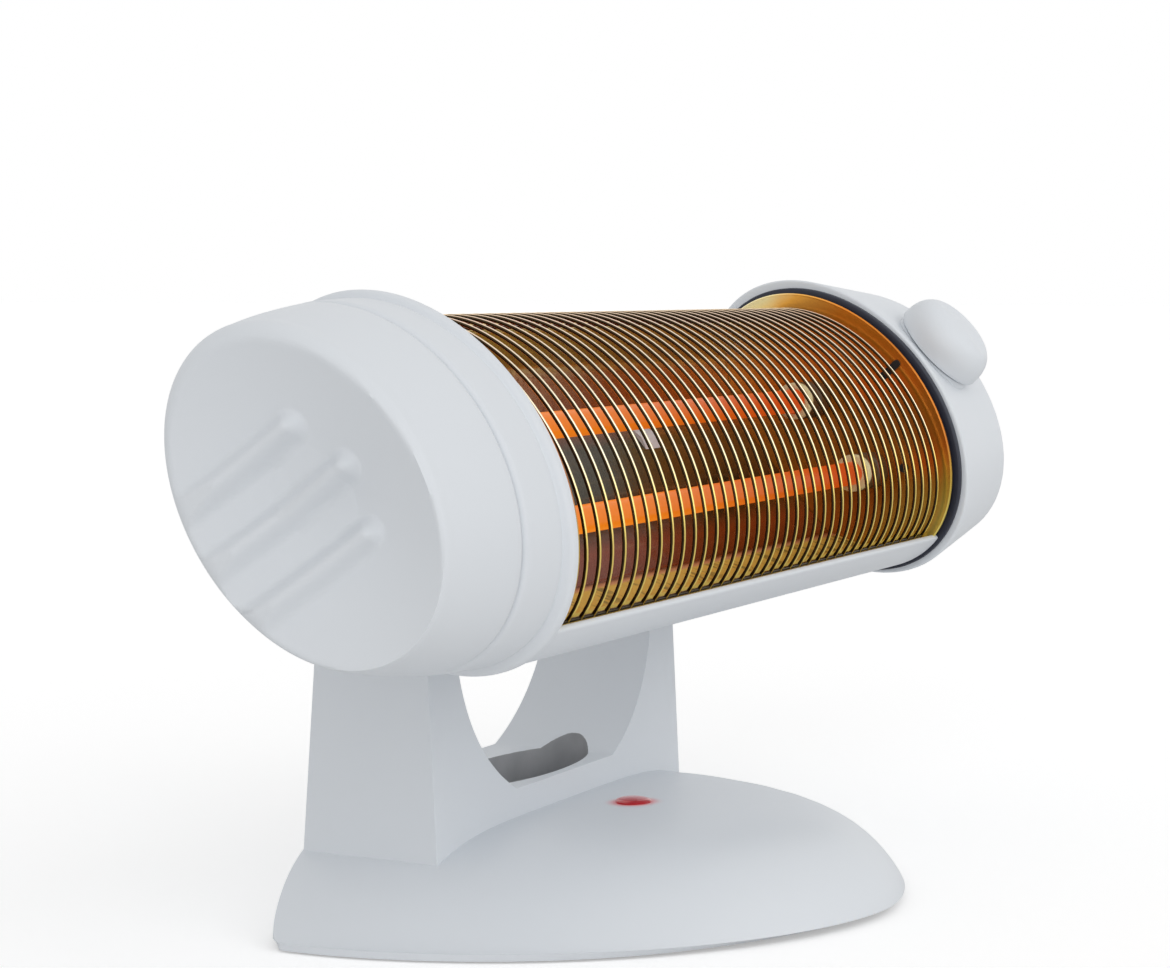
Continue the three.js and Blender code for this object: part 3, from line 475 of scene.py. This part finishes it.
def discs(bm, centre, profile, segments=96):
    """Circles round the line out of the window, bridged in turn; a station is radius, height."""
    loops = []
    for radius, height in profile:
        place = Matrix.Translation(Vector(centre) - Vector((0, height, 0)))
        place = place @ Matrix.Rotation(pi / 2, 4, "X")
        ring = bmesh.ops.create_circle(bm, radius=radius, segments=segments, matrix=place)["verts"]
        loops.append(list({e for v in ring for e in v.link_edges}))
    for near, far in zip(loops, loops[1:]):
        bmesh.ops.bridge_loops(bm, edges=near + far)
    bmesh.ops.holes_fill(bm, edges=[*loops[-1], *loops[0]])
    return loops


bm = bmesh.new()
profile = [(KNOB_RADIUS - 0.4, 0), (KNOB_RADIUS, 0.8)]
for i in range(29):
    angle = radians(88) * i / 28
    profile.append((KNOB_RADIUS * cos(angle) ** 0.56, 2.5 + (KNOB_HEIGHT - 2.5) * sin(angle) ** 0.9))
discs(bm, (0, 0, 0), profile)
for v in bm.verts:
    if v.co.y < -KNOB_HEIGHT + 5:
        v.co.y += dimple(v.co.x, v.co.z)
make(bm, "knob_cap", "knob", white_plastic, ["control_knob"],
     HEAD @ Matrix.Translation(KNOB), sharp=50)

bm = bmesh.new()
loops = discs(bm, (KNOB[0], KNOB[1] + 0.8, 0), [(21, -5), (20.2, 0)])
soften(bm, loops, [1], 0.6)
make(bm, "knob_pad", "head", white_plastic, place=HEAD)

# ---- Reflector
# A folded sheet of gold-coloured metal behind the tubes: a bright gold strip above the lip up to
# its fold, with a painted highlight along the fold; dark mirror sides and floor carrying painted
# reflections, near black for the shaded cavity and red-brown for the tubes' glow, with lighter
# streaks; a hammered upper part whose pink dots are painted reflections; and a row of small dark
# notches at the lip painted as shadow. Both its long edges are turned flat behind the rods of
# the guard.
SHEET = 1.2
FLANGE = 6
REFLECTOR_HALF = 171.7
GUARD_HALF = 168
WIRES = 38
WIRE_PITCH = 2 * GUARD_HALF / (WIRES - 1) / 1000
LOWER_ROD_FRONT = 4  # how far the guard's rods lie in front of the head's middle plane
UPPER_ROD_FRONT = 4.5


def sheet_edge(rod_front):
    """Where the sheet ends inside the housing, behind a rod of the guard."""
    y = 0.75 + 0.3 + SHEET - rod_front
    depth, height = (half - HOUSING_WALL for half in HOUSING)
    return y, height * sqrt(1 - (y / depth) ** 2) - 0.3


def parts_of(tree, place):
    split = node(tree, "ShaderNodeSeparateXYZ", {}, [place])
    return [Socket(tree, split.out.node.outputs[i]) for i in range(3)]


def up_the_head(tree, place):
    """Height along the long axis of the head's oval, in metres from its middle."""
    x, y, z = parts_of(tree, place)
    return (z - HEAD_AXIS[2]) * cos(HEAD_LEAN) + (y - HEAD_AXIS[1]) * sin(HEAD_LEAN)


def from_wire(tree, place, shift=0.0):
    """Signed distance from the nearest wire along the head, in metres."""
    x, y, z = parts_of(tree, place)
    turns = (x + GUARD_HALF / 1000 + shift) / WIRE_PITCH + 40.5
    return (turns.math("FRACT", turns) - 0.5) * WIRE_PITCH


def stretched(tree, place, factors):
    return node(tree, "ShaderNodeVectorMath", {"operation": "MULTIPLY"}, [place, factors])


def gilded(tree, place):
    x, y, z = parts_of(tree, place)
    up = up_the_head(tree, place)
    across = up / 0.14 + 0.5
    streak = noise(tree, stretched(tree, place, (14, 260, 260)), 1.0, 3)
    patch = noise(tree, stretched(tree, place, (1.0, 0.4, 0.4)), 170, 3)
    # Colour up the sheet: the gold strip's own colour, a painted highlight along the fold, then painted
    # reflections, near black for the shaded cavity and red-brown for the tubes' glow, and gold again at the
    # top.
    metal_and_painted_light = node(tree, "ShaderNodeValToRGB", {"stops": [
        (0.0, (0.6, 0.45, 0.08)),
        (0.1, (0.75, 0.55, 0.08)),
        (0.225, (0.85, 0.64, 0.12)),
        (0.232, (0.75, 0.42, 0.2)),
        (0.24, (0.6, 0.28, 0.13)),
        (0.25, (0.16, 0.03, 0.008)),
        (0.34, (0.22, 0.045, 0.012)),
        (0.4, (0.05, 0.035, 0.014)),
        (0.46, (0.03, 0.035, 0.018)),
        (0.68, (0.045, 0.04, 0.02)),
        (0.74, (0.2, 0.055, 0.02)),
        (0.88, (0.32, 0.12, 0.035)),
        (0.92, (0.5, 0.36, 0.07)),
        (1.0, (0.75, 0.6, 0.17)),
    ]}, [across])
    olive = patch.step(0.5, 0.64) * (1 - across.step(0.22, 0.235)) * across.step(0.1, 0.17)
    strip = blend(tree, olive * 0.8, metal_and_painted_light, (0.2, 0.17, 0.03, 1))
    # Lighter streaks along the sheet above the strip.
    streaked = blend(tree, streak.step(0.52, 0.8) * 0.28 * across.step(0.25, 0.3), strip,
                 (0.42, 0.33, 0.2, 1))
    # Dots on the upper part dent the surface, and their pink colour is a painted reflection.
    dots = node(tree, "ShaderNodeTexVoronoi", {}, {"Vector": place, "Scale": 250, "Randomness": 0.25})
    dents_and_painted_reflection_dots = dots.step(0.2, 0.55) * across.step(0.56, 0.64) * (1 - across.step(0.88, 0.93))
    dents_and_painted_reflection_dots = dents_and_painted_reflection_dots * (1 - x.step(-0.11, 0.02))
    pink = blend(tree, dents_and_painted_reflection_dots * 0.55, streaked, (0.5, 0.22, 0.13, 1))
    # Small dark notches at the lip between the wires are painted shadow.
    aside = from_wire(tree, place, WIRE_PITCH / 2)
    narrow = (up + 0.0662) * 0.55 + 0.0002
    painted_notch_shadow = (narrow - aside.math("ABSOLUTE", aside)).step(0, 0.0002)
    painted_notch_shadow = painted_notch_shadow * (1 - up.step(-0.0645, -0.0641))
    return {
        "Base Color": blend(tree, painted_notch_shadow, pink, (0.02, 0.014, 0.004, 1)),
        "Metallic": 0.4 + across.step(0.24, 0.26) * 0.35 - across.step(0.86, 0.93) * 0.35,
        "Roughness": 0.34 - across.step(0.24, 0.26) * 0.16 + streak * 0.1,
        "Normal": bump(tree, dents_and_painted_reflection_dots + streak * 0.2 + patch * 0.3, 0.5, 0.001),
    }


gold_sheet = material("gold_sheet", {}, gilded)
bm = bmesh.new()
low_y, low_z = sheet_edge(LOWER_ROD_FRONT)
high_y, high_z = sheet_edge(UPPER_ROD_FRONT)
section = [
    (low_y, -low_z), (low_y, -low_z + FLANGE), (16, -57), (30, -34),
    (30, 34), (16, 57), (high_y, high_z - FLANGE), (high_y, high_z),
]
corners = [bm.verts.new((-REFLECTOR_HALF, y, z)) for y, z in section]
for near, far in zip(corners, corners[1:]):
    bm.edges.new((near, far))
bmesh.ops.bevel(bm, geom=corners[1:-1], offset=1.1, affect="VERTICES", segments=4, profile=0.5,
                material=-1)
far = bmesh.ops.extrude_edge_only(bm, edges=list(bm.edges))["geom"]
moved = [v for v in far if isinstance(v, bmesh.types.BMVert)]
bmesh.ops.translate(bm, vec=(2 * REFLECTOR_HALF, 0, 0), verts=moved)
bmesh.ops.recalc_face_normals(bm, faces=bm.faces)
outward(bm, list(bm.faces), SHEET)
make(bm, "reflector_sheet", "head", gold_sheet, ["reflector"], HEAD)

# ---- End plates
# Bronze-coloured mirror sheet across each end of the trough, with a turned rim. Its colour is
# painted light: a pale painted highlight at the top, the tubes' orange glow painted across the
# middle and painted shade lower down. The right plate has near-black pieces for the shade in a
# slot and a small hole.


def bronzed(tree, place):
    across = up_the_head(tree, place) / 0.14 + 0.5
    cloud = noise(tree, place, 40) * 0.08 - 0.04
    # The ramp up the plate is painted light: a pale painted highlight at the top, the tubes' orange glow
    # painted across the middle and painted shade lower down.
    metal_and_painted_light = node(tree, "ShaderNodeValToRGB", {"stops": [
        (0.0, (0.8, 0.64, 0.15)),
        (0.12, (0.6, 0.4, 0.06)),
        (0.22, (0.5, 0.16, 0.015)),
        (0.5, (0.6, 0.19, 0.015)),
        (0.75, (0.85, 0.27, 0.022)),
        (0.88, (0.92, 0.46, 0.08)),
        (0.95, (0.95, 0.8, 0.42)),
        (1.0, (0.97, 0.86, 0.5)),
    ]}, [across + cloud])
    return {"Base Color": metal_and_painted_light, "Roughness": noise(tree, place, 90) * 0.1 + 0.16}


bronze_sheet = material("bronze_sheet", {"Metallic": 0.6}, bronzed)
for side, name in ((-1, "left"), (1, "right")):
    bm = bmesh.new()
    loops = oval_body(bm, [
        (172.4, 46.6, 66.6), (172.3, 47.4, 67.4), (172.8, 47.9, 67.9), (173.5, 47.9, 67.9),
        (173.5, 46.8, 66.8),
    ], closed=False)
    bmesh.ops.holes_fill(bm, edges=[*loops[-1], *loops[0]])
    if side < 0:
        bmesh.ops.scale(bm, vec=(-1, 1, 1), verts=bm.verts)
    make(bm, f"{name}_mirror_plate", "head", bronze_sheet,
         [f"{name}_end_plate"], HEAD)


def painted_hole_shade(tree, place):
    cloud = noise(tree, place, 300)
    return {"Base Color": blend(tree, cloud, (0.003, 0.002, 0.002, 1), (0.01, 0.006, 0.004, 1))}


# The slot and the small hole in the right plate are near-black pieces painted for the shade inside them.
hole_shadow = material("hole_shadow", {"Roughness": 0.8}, painted_hole_shade)
bm = bmesh.new()
slot = Matrix.Translation((172.1, -39.5, 0.3)) @ Matrix.Diagonal((0.5, 11, 3.4, 1))
bmesh.ops.create_cube(bm, size=1, matrix=slot)
round_edges(bm, [e for e in bm.edges if abs(e.verts[0].co.x - e.verts[1].co.x) > 0.1], 1.4)
bmesh.ops.create_cone(
    bm, cap_ends=True, radius1=2, radius2=2, depth=0.5, segments=24,
    matrix=Matrix.Translation((172.1, -16, -36)) @ Matrix.Rotation(pi / 2, 4, "Y"),
)
make(bm, "right_plate_holes", "head", hole_shadow, place=HEAD)

# ---- Quartz tubes, filaments and holders
# Two clear tubes lit from inside by their coils. Each end sits in a ceramic holder: a cream
# fired mouth on a body painted darker, as painted shade with a painted reflection of the bronze
# plate behind it.
TUBE_ROWS = {"upper": 14, "lower": -27}
TUBE_Y = -4
TUBE_RADIUS = 5
TUBE_REACH = 162
MOUTH = 148
HOLDER = (
    (MOUTH, 5.3), (MOUTH, 8), (158, 8), (159, 7.2), (161, 7.2), (162, 8), (171.9, 8), (171.9, 5.3),
)


def glowing(tree, place):
    x, y, z = parts_of(tree, place)
    coil = node(tree, "ShaderNodeTexWave", {"wave_type": "BANDS", "bands_direction": "X"},
                {"Vector": place, "Scale": 95, "Distortion": 1.5})
    cloud = noise(tree, place, 60, 3)
    cooler = x.step(-0.13, 0.16) + coil * 0.06 + cloud * 0.1 - 0.07
    return {
        "Base Color": blend(tree, cloud, (0.1, 0.015, 0.003, 1), (0.06, 0.01, 0.003, 1)),
        "Emission Color": blend(tree, cooler.clamp(), (0.8, 0.2, 0.006, 1), (0.46, 0.05, 0.004, 1)),
    }


quartz = material("quartz", {
    "Roughness": 0.3, "Specular IOR Level": 0.2, "Emission Strength": 0.95,
}, glowing)


def glazed_with_painted_shade(tree, place):
    x, y, z = parts_of(tree, place)
    glaze = blend(tree, noise(tree, place, 120), (0.72, 0.6, 0.3, 1), (0.85, 0.75, 0.45, 1))
    # Behind the mouth the body is painted dark: painted shade with a painted reflection of the bronze plate.
    behind = x.math("ABSOLUTE", x).step((MOUTH + 3) / 1000, (MOUTH + 4.5) / 1000)
    return {
        "Base Color": blend(tree, behind, glaze, (0.09, 0.045, 0.012, 1)),
        "Normal": bump(tree, noise(tree, place, 700), 0.2, 0.0003),
    }


ceramic = material("ceramic", {"Roughness": 0.55}, glazed_with_painted_shade)


def rod(bm, x0, x1, radius, y, z, segments=48):
    place = Matrix.Translation(((x0 + x1) / 2, y, z)) @ Matrix.Rotation(pi / 2, 4, "Y")
    return bmesh.ops.create_cone(
        bm, cap_ends=True, segments=segments, radius1=radius, radius2=radius,
        depth=x1 - x0, matrix=place,
    )["verts"]


for row, z in TUBE_ROWS.items():
    bm = bmesh.new()
    rod(bm, -TUBE_REACH, TUBE_REACH, TUBE_RADIUS, TUBE_Y, z)
    make(bm, f"{row}_tube", "head", quartz, [f"{row}_quartz_tube", f"{row}_filament"], HEAD)
    for side, name in ((-1, "left"), (1, "right")):
        bm = bmesh.new()
        loops = []
        for x, radius in HOLDER:
            place = Matrix.Translation((side * x, TUBE_Y, z)) @ Matrix.Rotation(pi / 2, 4, "Y")
            ring = bmesh.ops.create_circle(bm, radius=radius, segments=56, matrix=place)["verts"]
            loops.append(list({e for v in ring for e in v.link_edges}))
        for near, far in zip(loops, loops[1:] + loops[:1]):
            bmesh.ops.bridge_loops(bm, edges=near + far)
        soften(bm, loops, [0, 1, 6], 0.5, 2)
        make(bm, f"{row}_{name}_socket", "head", ceramic, [f"{row}_{name}_holder"], HEAD)

# ---- Wire guard
# Thirty-eight plated wires bowed round the front of the tubes, each welded at its ends to a
# long rod behind an edge of the window. Their fronts shine, and their flanks are painted near
# black as painted shade.
WIRE = 0.73
BOW_DEPTH = 41.2
BOW_HEIGHTS = (64.2, 60.5)  # below and above the middle, where the bow is flatter


def plated(tree, place):
    up = up_the_head(tree, place) / 0.14 + 0.5
    aside = from_wire(tree, place)
    shine = node(tree, "ShaderNodeValToRGB", {"stops": [
        (0.0, (0.9, 0.68, 0.14)), (0.2, (0.95, 0.74, 0.22)), (0.32, (0.95, 0.86, 0.62)),
        (0.55, (0.95, 0.84, 0.62)), (0.8, (0.9, 0.66, 0.5)), (1.0, (0.85, 0.68, 0.3)),
    ]}, [up])
    # The wires' flanks are painted near black as painted shade.
    painted_dark_flank = aside.math("ABSOLUTE", aside + 0.00008).step(0.00027, 0.0005)
    return {
        "Base Color": blend(tree, painted_dark_flank, shine, (0.05, 0.035, 0.018, 1)),
        "Roughness": noise(tree, place, 500) * 0.1 + 0.2,
    }


guard_wire = material("guard_wire", {"Metallic": 1.0}, plated)


def bow(angle):
    """A point of the bow and its heading there."""
    height = BOW_HEIGHTS[angle > 0]
    return (Vector((0, -BOW_DEPTH * cos(angle), height * sin(angle))),
            Vector((0, BOW_DEPTH * sin(angle), height * cos(angle))))


bm = bmesh.new()
start, end = -acos(LOWER_ROD_FRONT / BOW_DEPTH), acos(UPPER_ROD_FRONT / BOW_DEPTH)
loops = []
for i in range(49):
    angle = start + (end - start) * i / 48
    point, heading = bow(angle)
    place = Matrix.Translation((-GUARD_HALF, *point.yz)) @ heading.to_track_quat("Z", "X").to_matrix().to_4x4()
    ring = bmesh.ops.create_circle(bm, radius=WIRE, segments=10, matrix=place)["verts"]
    loops.append(list({e for v in ring for e in v.link_edges}))
for near, far in zip(loops, loops[1:]):
    bmesh.ops.bridge_loops(bm, edges=near + far)
bmesh.ops.holes_fill(bm, edges=[*loops[-1], *loops[0]])
bmesh.ops.recalc_face_normals(bm, faces=bm.faces)
wire = bm.verts[:] + bm.edges[:] + bm.faces[:]
for i in range(1, WIRES):
    copy = bmesh.ops.duplicate(bm, geom=wire)["geom"]
    moved = [v for v in copy if isinstance(v, bmesh.types.BMVert)]
    bmesh.ops.translate(bm, vec=(2 * GUARD_HALF * i / (WIRES - 1), 0, 0), verts=moved)
for angle in (start, end):
    rod(bm, -GUARD_HALF - 0.7, GUARD_HALF + 0.7, WIRE, *bow(angle)[0].yz, 12)
make(bm, "guard", "head", guard_wire, ["wire_guard"], HEAD)

# ---- Stand
# A thick slab with a wide U cut out of its top, leaning in towards the head. Its two posts
# are hollowed for the head's tilt, and an oval well opens in the floor of the U.
HINGE = (62.027, 149.583)
STAND_HALF = 101
POST_WIDTH = 20
WELL = (50, 18.5)
WELL_Y = 60.5
PIVOT_ROOM = (70, 50)  # half height and half depth of the room that the housing takes
POCKET_TOP = 135.5  # the hollow behind the rear cover ends here
COVER = 2.5
BLOCK = 150  # half width of a block that is cut to shape


def front_y(z):
    return 37 + 0.05066 * (z - 24)


def back_y(z):
    return 94.7 - 0.07607 * (z - 24)


def prism(corners, to_point, depth):
    """A closed block from a flat outline, extruded by depth."""
    bm = bmesh.new()
    face = bm.faces.new([bm.verts.new(to_point(a, b)) for a, b in corners])
    far = bmesh.ops.extrude_face_region(bm, geom=[face])["geom"]
    bmesh.ops.translate(bm, vec=depth, verts=[v for v in far if isinstance(v, bmesh.types.BMVert)])
    bmesh.ops.recalc_face_normals(bm, faces=bm.faces)
    return bm


def u_outline(inset):
    """Front view of the slab, inset all round by a distance."""
    side, top, low = STAND_HALF - inset, STAND_HALF - POST_WIDTH + inset, 42.5 - inset
    a, d = (top, 105), (40, low)
    b, c = ((40 + x * (top - 40), low + z * (105 - low)) for x, z in ((0.958, 0.482), (0.524, 0.168)))
    curve = []
    for i in range(33):
        t = i / 32
        shares = ((1 - t) ** 3, 3 * t * (1 - t) ** 2, 3 * t * t * (1 - t), t ** 3)
        curve.append(tuple(sum(s * p[k] for s, p in zip(shares, (a, b, c, d))) for k in (0, 1)))
    right = [(side, 0), (side, 200), (top, 200), *curve]
    return right + [(-x, z) for x, z in reversed(right)]


def side_outline(grow):
    """Side view of the slab, with its round top, grown all round by a distance."""
    y0, y1 = front_y(HINGE[1]) - grow, back_y(HINGE[1]) + grow
    radius, middle = (y1 - y0) / 2, (y0 + y1) / 2
    turns = [pi * i / 40 for i in range(41)]
    top = [(middle + radius * cos(turn), HINGE[1] + radius * sin(turn)) for turn in turns]
    return [(front_y(12) - grow, 12), (back_y(12) + grow, 12), *top]


def cut(bm, cutter, operation):
    """Joins, cuts or intersects one closed block with another."""
    parts = []
    for name, source in (("blank", bm), ("cutter", cutter)):
        mesh = bpy.data.meshes.new(name)
        source.to_mesh(mesh)
        source.free()
        parts.append(bpy.data.objects.new(name, mesh))
        scene.collection.objects.link(parts[-1])
    tool = parts[0].modifiers.new("cut", "BOOLEAN")
    tool.operation, tool.object, tool.solver = operation, parts[1], "EXACT"
    result = bmesh.new()
    result.from_object(parts[0], bpy.context.evaluated_depsgraph_get())
    for part in parts:
        mesh = part.data
        bpy.data.objects.remove(part)
        bpy.data.meshes.remove(mesh)
    return result


def block_across(corners):
    """A block right across the stand, from its outline in side view."""
    return prism(corners, lambda y, z: (-BLOCK, y, z), (2 * BLOCK, 0, 0))


def slab(inset):
    front = prism(u_outline(inset), lambda x, z: (x, 0, z), (0, 160, 0))
    return cut(front, block_across(side_outline(-inset)), "INTERSECT")


def tilt_room():
    """The room the housing takes through its tilt, as one smooth block."""
    bm = bmesh.new()
    for i in range(7):
        turn = radians(-10 + 30 * i / 6) - HEAD_LEAN
        place = Matrix.Translation((0, *HINGE)) @ Matrix.Rotation(turn, 4, "X")
        place = place @ Matrix.Translation((0, -LUG_EYE[0], -LUG_EYE[1]))
        place = place @ Matrix.Rotation(pi / 2, 4, "Y") @ Matrix.Diagonal((*PIVOT_ROOM, 1, 1))
        for x in (-BLOCK, BLOCK):
            end_place = Matrix.Translation((x, 0, 0)) @ place
            bmesh.ops.create_circle(bm, radius=1, segments=96, matrix=end_place)
    made = bmesh.ops.convex_hull(bm, input=bm.verts)
    inside = list(set(made["geom_interior"] + made["geom_unused"]))
    bmesh.ops.delete(bm, geom=inside, context="VERTS")
    return bm


def well():
    bm = bmesh.new()
    place = Matrix.Translation((0, WELL_Y, 46)) @ Matrix.Diagonal((*WELL, 1, 1))
    bmesh.ops.create_cone(bm, cap_ends=True, segments=96, radius1=1, radius2=1, depth=32, matrix=place)
    return bm


def without_offcuts(bm):
    """Keeps the block that holds the lowest corner; the tilt cut leaves two small offcuts."""
    bm.verts.ensure_lookup_table()
    kept, edge_of_kept = set(), [min(bm.verts, key=lambda v: v.co.z)]
    while edge_of_kept:
        v = edge_of_kept.pop()
        if v not in kept:
            kept.add(v)
            edge_of_kept += [e.other_vert(v) for e in v.link_edges]
    bmesh.ops.delete(bm, geom=[v for v in bm.verts if v not in kept], context="VERTS")


bm = cut(slab(0), well(), "DIFFERENCE")
bm = cut(bm, tilt_room(), "DIFFERENCE")
without_offcuts(bm)
depth = COVER + 0.3
behind = [(back_y(0) - depth, 0), (140, 0), (140, POCKET_TOP), (back_y(POCKET_TOP) - depth, POCKET_TOP)]
pocket = cut(prism(u_outline(3), lambda x, z: (x, 60, z), (0, 60, 0)), block_across(behind), "INTERSECT")
bm = cut(bm, pocket, "DIFFERENCE")
bmesh.ops.remove_doubles(bm, verts=bm.verts, dist=0.01)
bmesh.ops.dissolve_limit(bm, angle_limit=radians(0.5), verts=bm.verts, edges=bm.edges)
slab_piece = make(bm, "stand_slab", "stand", white_plastic, ["stand_shell"], STAND,
                  flip=False)


# The walls and floor of the well are painted grey for the shade inside it.
def hollow(tree, place):
    cloud = noise(tree, place, 60, 3)
    return {
        "Base Color": blend(tree, cloud, (0.26, 0.265, 0.275, 1), (0.5, 0.505, 0.52, 1)),
        "Roughness": noise(tree, place, 160) * 0.1 + 0.5,
    }


painted_well_shade = material("painted_well_shade", {}, hollow)
slab_piece.data.materials.append(painted_well_shade)
for face in slab_piece.data.polygons:
    x, y, z = face.center * 1000
    if (x / 51) ** 2 + ((y - 56) / 19.3) ** 2 < 1 and z < 42.3:
        face.material_index = 1
soft = slab_piece.modifiers.new("moulded_edges", "BEVEL")
soft.width, soft.segments, soft.limit_method, soft.angle_limit = 0.0022, 3, "ANGLE", radians(32)
soft.harden_normals = True

low, high = 12, POCKET_TOP - 0.5
sheet = [
    (back_y(low) - COVER, low), (back_y(low), low), (back_y(high), high), (back_y(high) - COVER, high),
]
bm = cut(prism(u_outline(3.3), lambda x, z: (x, 60, z), (0, 60, 0)), block_across(sheet), "INTERSECT")
bm = cut(bm, tilt_room(), "DIFFERENCE")
bmesh.ops.dissolve_limit(bm, angle_limit=radians(0.5), verts=bm.verts, edges=bm.edges)
cover = make(bm, "rear_cover", "stand", white_plastic, ["stand_rear_cover"], STAND,
             flip=False)
soft = cover.modifiers.new("moulded_edges", "BEVEL")
soft.width, soft.segments, soft.limit_method, soft.angle_limit = 0.0006, 2, "ANGLE", radians(32)

# ---- Base
# A low dome, D-shaped in plan: a long rounded front and a flat back. It is a thin shell that
# stands on four feet under a bottom plate; a red glow round the lamp is painted light in the
# plastic's colour.
BASE_WIDE = 149.5
BASE_MIDDLE = 72.25
BASE_FRONT = 170.5
BASE_BACK = 35
BASE_EDGE = 3.4
FRONT_POWER = 1.76
BACK_POWER = 1.7
BASE_WALL = 2.6
LAMP = (0, 8.5)


def base_edge(angle):
    """The edge of the base at an angle from the middle of its widest line."""
    power = BACK_POWER if sin(angle) > 0 else FRONT_POWER
    x, y = (abs(f(angle)) ** (2 / power) for f in (cos, sin))
    reach = BASE_BACK if sin(angle) > 0 else BASE_FRONT
    side, end = (1 if f(angle) > 0 else -1 for f in (cos, sin))
    return BASE_WIDE * x * side, reach * y * end


def dome(x, y):
    """Height of the dome over a point; behind the widest line it only depends on x."""
    y = min(0, y)
    sideways = abs(x / BASE_WIDE) ** FRONT_POWER
    along = abs(y / BASE_FRONT) ** FRONT_POWER
    share = min(1, (sideways + along) ** (1 / FRONT_POWER))
    side = sideways / (sideways + along + 1e-9)
    rise = 28.4 + 0.04 * (37 - BASE_MIDDLE - y)
    return BASE_EDGE + rise * (1 - share ** (8 - 3 * side)) ** (0.81 + 0.78 * side)


def painted_lamp_glow(tree, place):
    lamp = (LAMP[0] / 1000, (LAMP[1] - 4.5) / 1000, 0.0327)
    away = node(tree, "ShaderNodeVectorMath", {"operation": "DISTANCE"}, [place, lamp], 1)
    looks = moulded(tree, place)
    # The red round the lamp is a painted glow of its light on the plastic.
    near = 1 - away.step(0.006, 0.0135)
    looks["Base Color"] = blend(tree, near * near * 0.85, looks["Base Color"], (0.85, 0.16, 0.18, 1))
    return looks


base_plastic = material("base_plastic", WHITE_GLOSS, painted_lamp_glow)
bm = bmesh.new()
ring = bmesh.ops.create_circle(bm, radius=1, segments=256)["verts"]
for i, v in enumerate(ring):
    v.co = (*base_edge(2 * pi * i / 256), BASE_EDGE)
edges = list(bm.edges)
reached = 1
for share in (0.998, 0.993, 0.985, 0.973, 0.958, 0.94, 0.918, 0.893, 0.865, 0.83, 0.79, 0.74, 0.68,
              0.61, 0.52, 0.42, 0.3, 0.17, 0.05):
    far = bmesh.ops.extrude_edge_only(bm, edges=edges)["geom"]
    edges = [e for e in far if isinstance(e, bmesh.types.BMEdge) and e.is_boundary]
    for v in (v for v in far if isinstance(v, bmesh.types.BMVert)):
        x, y = v.co.x * share / reached, v.co.y * share / reached
        v.co = (x, y, dome(x, y))
    reached = share
bmesh.ops.holes_fill(bm, edges=edges)
bmesh.ops.translate(bm, vec=(0, BASE_MIDDLE, 0), verts=bm.verts)
bmesh.ops.recalc_face_normals(bm, faces=bm.faces)
outward(bm, list(bm.faces), BASE_WALL)
make(bm, "base_dome", "stand", base_plastic, ["base_shell"], STAND, sharp=50)

# The floor of the well takes the same painted shade.
bm = bmesh.new()
floor_place = Matrix.Diagonal((WELL[0] + 0.5, WELL[1] + 0.5, 1, 1))
bmesh.ops.create_circle(bm, cap_ends=True, radius=1, segments=72, matrix=floor_place)
bmesh.ops.subdivide_edges(bm, edges=bm.edges, cuts=1)
bmesh.ops.translate(bm, vec=(0, WELL_Y, 0), verts=bm.verts)
for v in bm.verts:
    v.co.z = dome(v.co.x, v.co.y - BASE_MIDDLE) + 0.35
outward(bm, list(bm.faces), 0.3)
make(bm, "well_floor", "stand", painted_well_shade, place=STAND)

# ---- Pilot lamp
# A red lens lying almost flush in the dome, lit from below; the faint glow round it is painted
# into the base's colour.


def lamp_glow(tree, place):
    cloud = noise(tree, place, 400)
    return {"Base Color": blend(tree, cloud, (0.16, 0.001, 0.002, 1), (0.3, 0.002, 0.005, 1))}


lamp_red = material("lamp_red", {
    "Roughness": 0.15, "Coat Weight": 0.5, "Emission Color": (0.6, 0.0, 0.01, 1),
    "Emission Strength": 0.25,
}, lamp_glow)
bm = bmesh.new()
loops = []
for radius, height in ((7, -1.5), (7, 0), (6.6, 0.45), (5.2, 0.9), (3, 1.2), (1, 1.3)):
    place = Matrix.Translation((*LAMP, dome(0, LAMP[1] - BASE_MIDDLE) + 0.6 + height))
    made = bmesh.ops.create_circle(bm, radius=radius, segments=64, matrix=place)["verts"]
    loops.append(list({e for v in made for e in v.link_edges}))
for near, far in zip(loops, loops[1:]):
    bmesh.ops.bridge_loops(bm, edges=near + far)
bmesh.ops.holes_fill(bm, edges=[*loops[-1], *loops[0]])
make(bm, "lamp_lens", "stand", lamp_red, ["pilot_lamp_lens"], STAND)

# ---- Plates, feet, screws and inner parts
# These keep their solids: the bottom plate, the rubber feet and what sits inside.


def brushed(tree, place):
    return {"Roughness": noise(tree, place, 900) * 0.25 + 0.25}


def grained(tree, place):
    return {
        "Roughness": noise(tree, place, 500) * 0.2 + 0.5,
        "Normal": bump(tree, noise(tree, place, 1800), 0.1, 0.0002),
    }


steel = material("steel", {"Base Color": (0.56, 0.57, 0.58, 1), "Metallic": 1.0}, brushed)
dark_plastic = material("dark_plastic", {"Base Color": (0.03, 0.031, 0.034, 1)}, grained)
foot_rubber = material("foot_rubber", {"Base Color": (0.42, 0.43, 0.45, 1)}, grained)
LOOKS = {
    white_plastic: ["base_plate"],
    steel: ["switch_shaft", "thermal_cut_out", "left_hinge_pin", "right_hinge_pin",
            *(f"base_screw_{n}" for n in range(1, 5))],
    ceramic: ["terminal_block"],
    dark_plastic: ["rotary_switch", "pilot_lamp_body", "tip_switch_body", "cord_gland"],
    foot_rubber: ["tip_switch_plunger", *(f"foot_{n}" for n in range(1, 5))],
}
for look, names in LOOKS.items():
    for name in names:
        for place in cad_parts[name].material_slots:
            place.material = look
